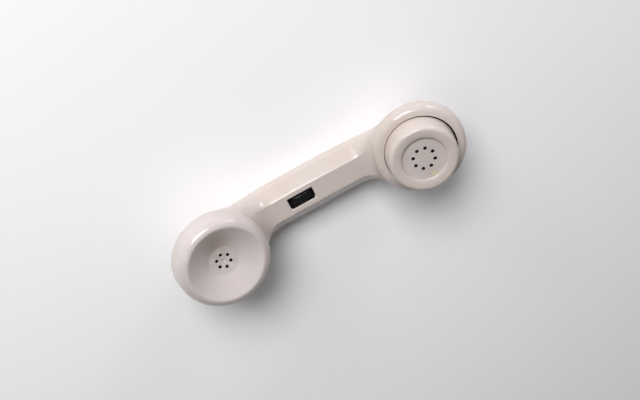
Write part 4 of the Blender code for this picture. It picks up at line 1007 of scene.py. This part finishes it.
PAINTS = {
    "moulded_plastic": ivory_paint("ivory_moulding", *IVORY_COLOURS),
    "face_plastic": face_paint(),
    "black_plastic": black_paint(),
}
for slot, finish in PLAIN_FINISHES.items():
    PAINTS[slot] = plain_paint(slot, *finish)
for wire, (dark, light) in WIRE_COLOURS.items():
    slot = f"{wire}_insulation"
    PAINTS[slot] = plain_paint(slot, dark, light, WIRE_ROUGHNESS, *WIRE_GRAIN)
CAP_PAINT = ivory_paint("cap_moulding", *CAP_COLOURS)


def paint_nodes():
    """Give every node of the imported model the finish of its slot."""
    for subpart in frame["record"]["subparts"]:
        mesh = frame["nodes"][subpart["node"]].data
        mesh.materials.clear()
        mesh.materials.append(PAINTS[subpart["material_slot"]])


def area_light(name, azimuth, elevation, distance, size, watts, tint, roll):
    """A soft box that looks at the middle of the handset from a direction in degrees."""
    light = bpy.data.lights.new(name, "AREA")
    light.shape = "RECTANGLE"
    light.size, light.size_y = size
    light.energy = watts
    light.color = tint
    lamp = bpy.data.objects.new(name, light)
    bpy.context.scene.collection.objects.link(lamp)
    a, e = math.radians(azimuth), math.radians(elevation)
    away = Vector((math.cos(a) * math.cos(e), math.sin(a) * math.cos(e), math.sin(e)))
    lamp.location = LIGHTS_LOOK_AT + away * distance
    turn = away.to_track_quat("Z", "Y") @ Quaternion((0, 0, 1), math.radians(roll))
    lamp.rotation_euler = turn.to_euler()


def make_floor():
    """A plain pale floor, just under the handset."""
    paint = Paint("floor_paper")
    grey = paint.mix(paint.span(paint.noise(3), 0.0, 1.0), *FLOOR_GREYS)
    paint.set(Base_Color=grey, Roughness=FLOOR_ROUGHNESS, Specular_IOR_Level=FLOOR_SPECULAR)
    half, low = FLOOR_HALF, -FLOOR_GAP
    mesh = bpy.data.meshes.new("floor")
    mesh.from_pydata([(-half, -half, low), (half, -half, low), (half, half, low),
                      (-half, half, low)], [], [(0, 1, 2, 3)])
    mesh.materials.append(paint.material)
    floor = bpy.data.objects.new("floor", mesh)
    bpy.context.scene.collection.objects.link(floor)


def make_room():
    """Faint light from all round, stronger from the side of the windows."""
    world = bpy.data.worlds.new("studio")
    world.use_nodes = True
    room = Nodes(world.node_tree)
    toward = room.parts(room.node("ShaderNodeTexCoord", out="Generated"))
    glow = room.node("ShaderNodeMapRange", {
        "Value": toward["Y"], "From Min": -1.0, "To Min": ROOM_GLOW[0], "To Max": ROOM_GLOW[1]})
    background = room.tree.nodes["Background"].inputs
    room.tree.links.new(glow, background["Strength"])
    background["Color"].default_value = ROOM_TINT
    bpy.context.scene.world = world


def make_camera():
    """The camera that was fitted to the photo."""
    camera = bpy.data.cameras.new("camera")
    camera.sensor_width = 36
    camera.lens = CAMERA_LENS
    camera.clip_start = 0.01
    seen = bpy.data.objects.new("camera", camera)
    bpy.context.scene.collection.objects.link(seen)
    seen.location = CAMERA_PLACE
    seen.rotation_euler = Euler([math.radians(a) for a in CAMERA_TURN])
    bpy.context.scene.camera = seen


bpy.context.scene.view_settings.view_transform = "Standard"
make_camera()
make_floor()
make_room()
for light in LIGHTS:
    area_light(*light)
paint_nodes()
make_handle(PAINTS["moulded_plastic"])
make_ear_cap(CAP_PAINT)
make_mouth_ring(PAINTS["moulded_plastic"])
make_mouth_can(PAINTS["moulded_plastic"])
make_mouth_face(PAINTS["face_plastic"])
make_wheel(PAINTS["black_plastic"])
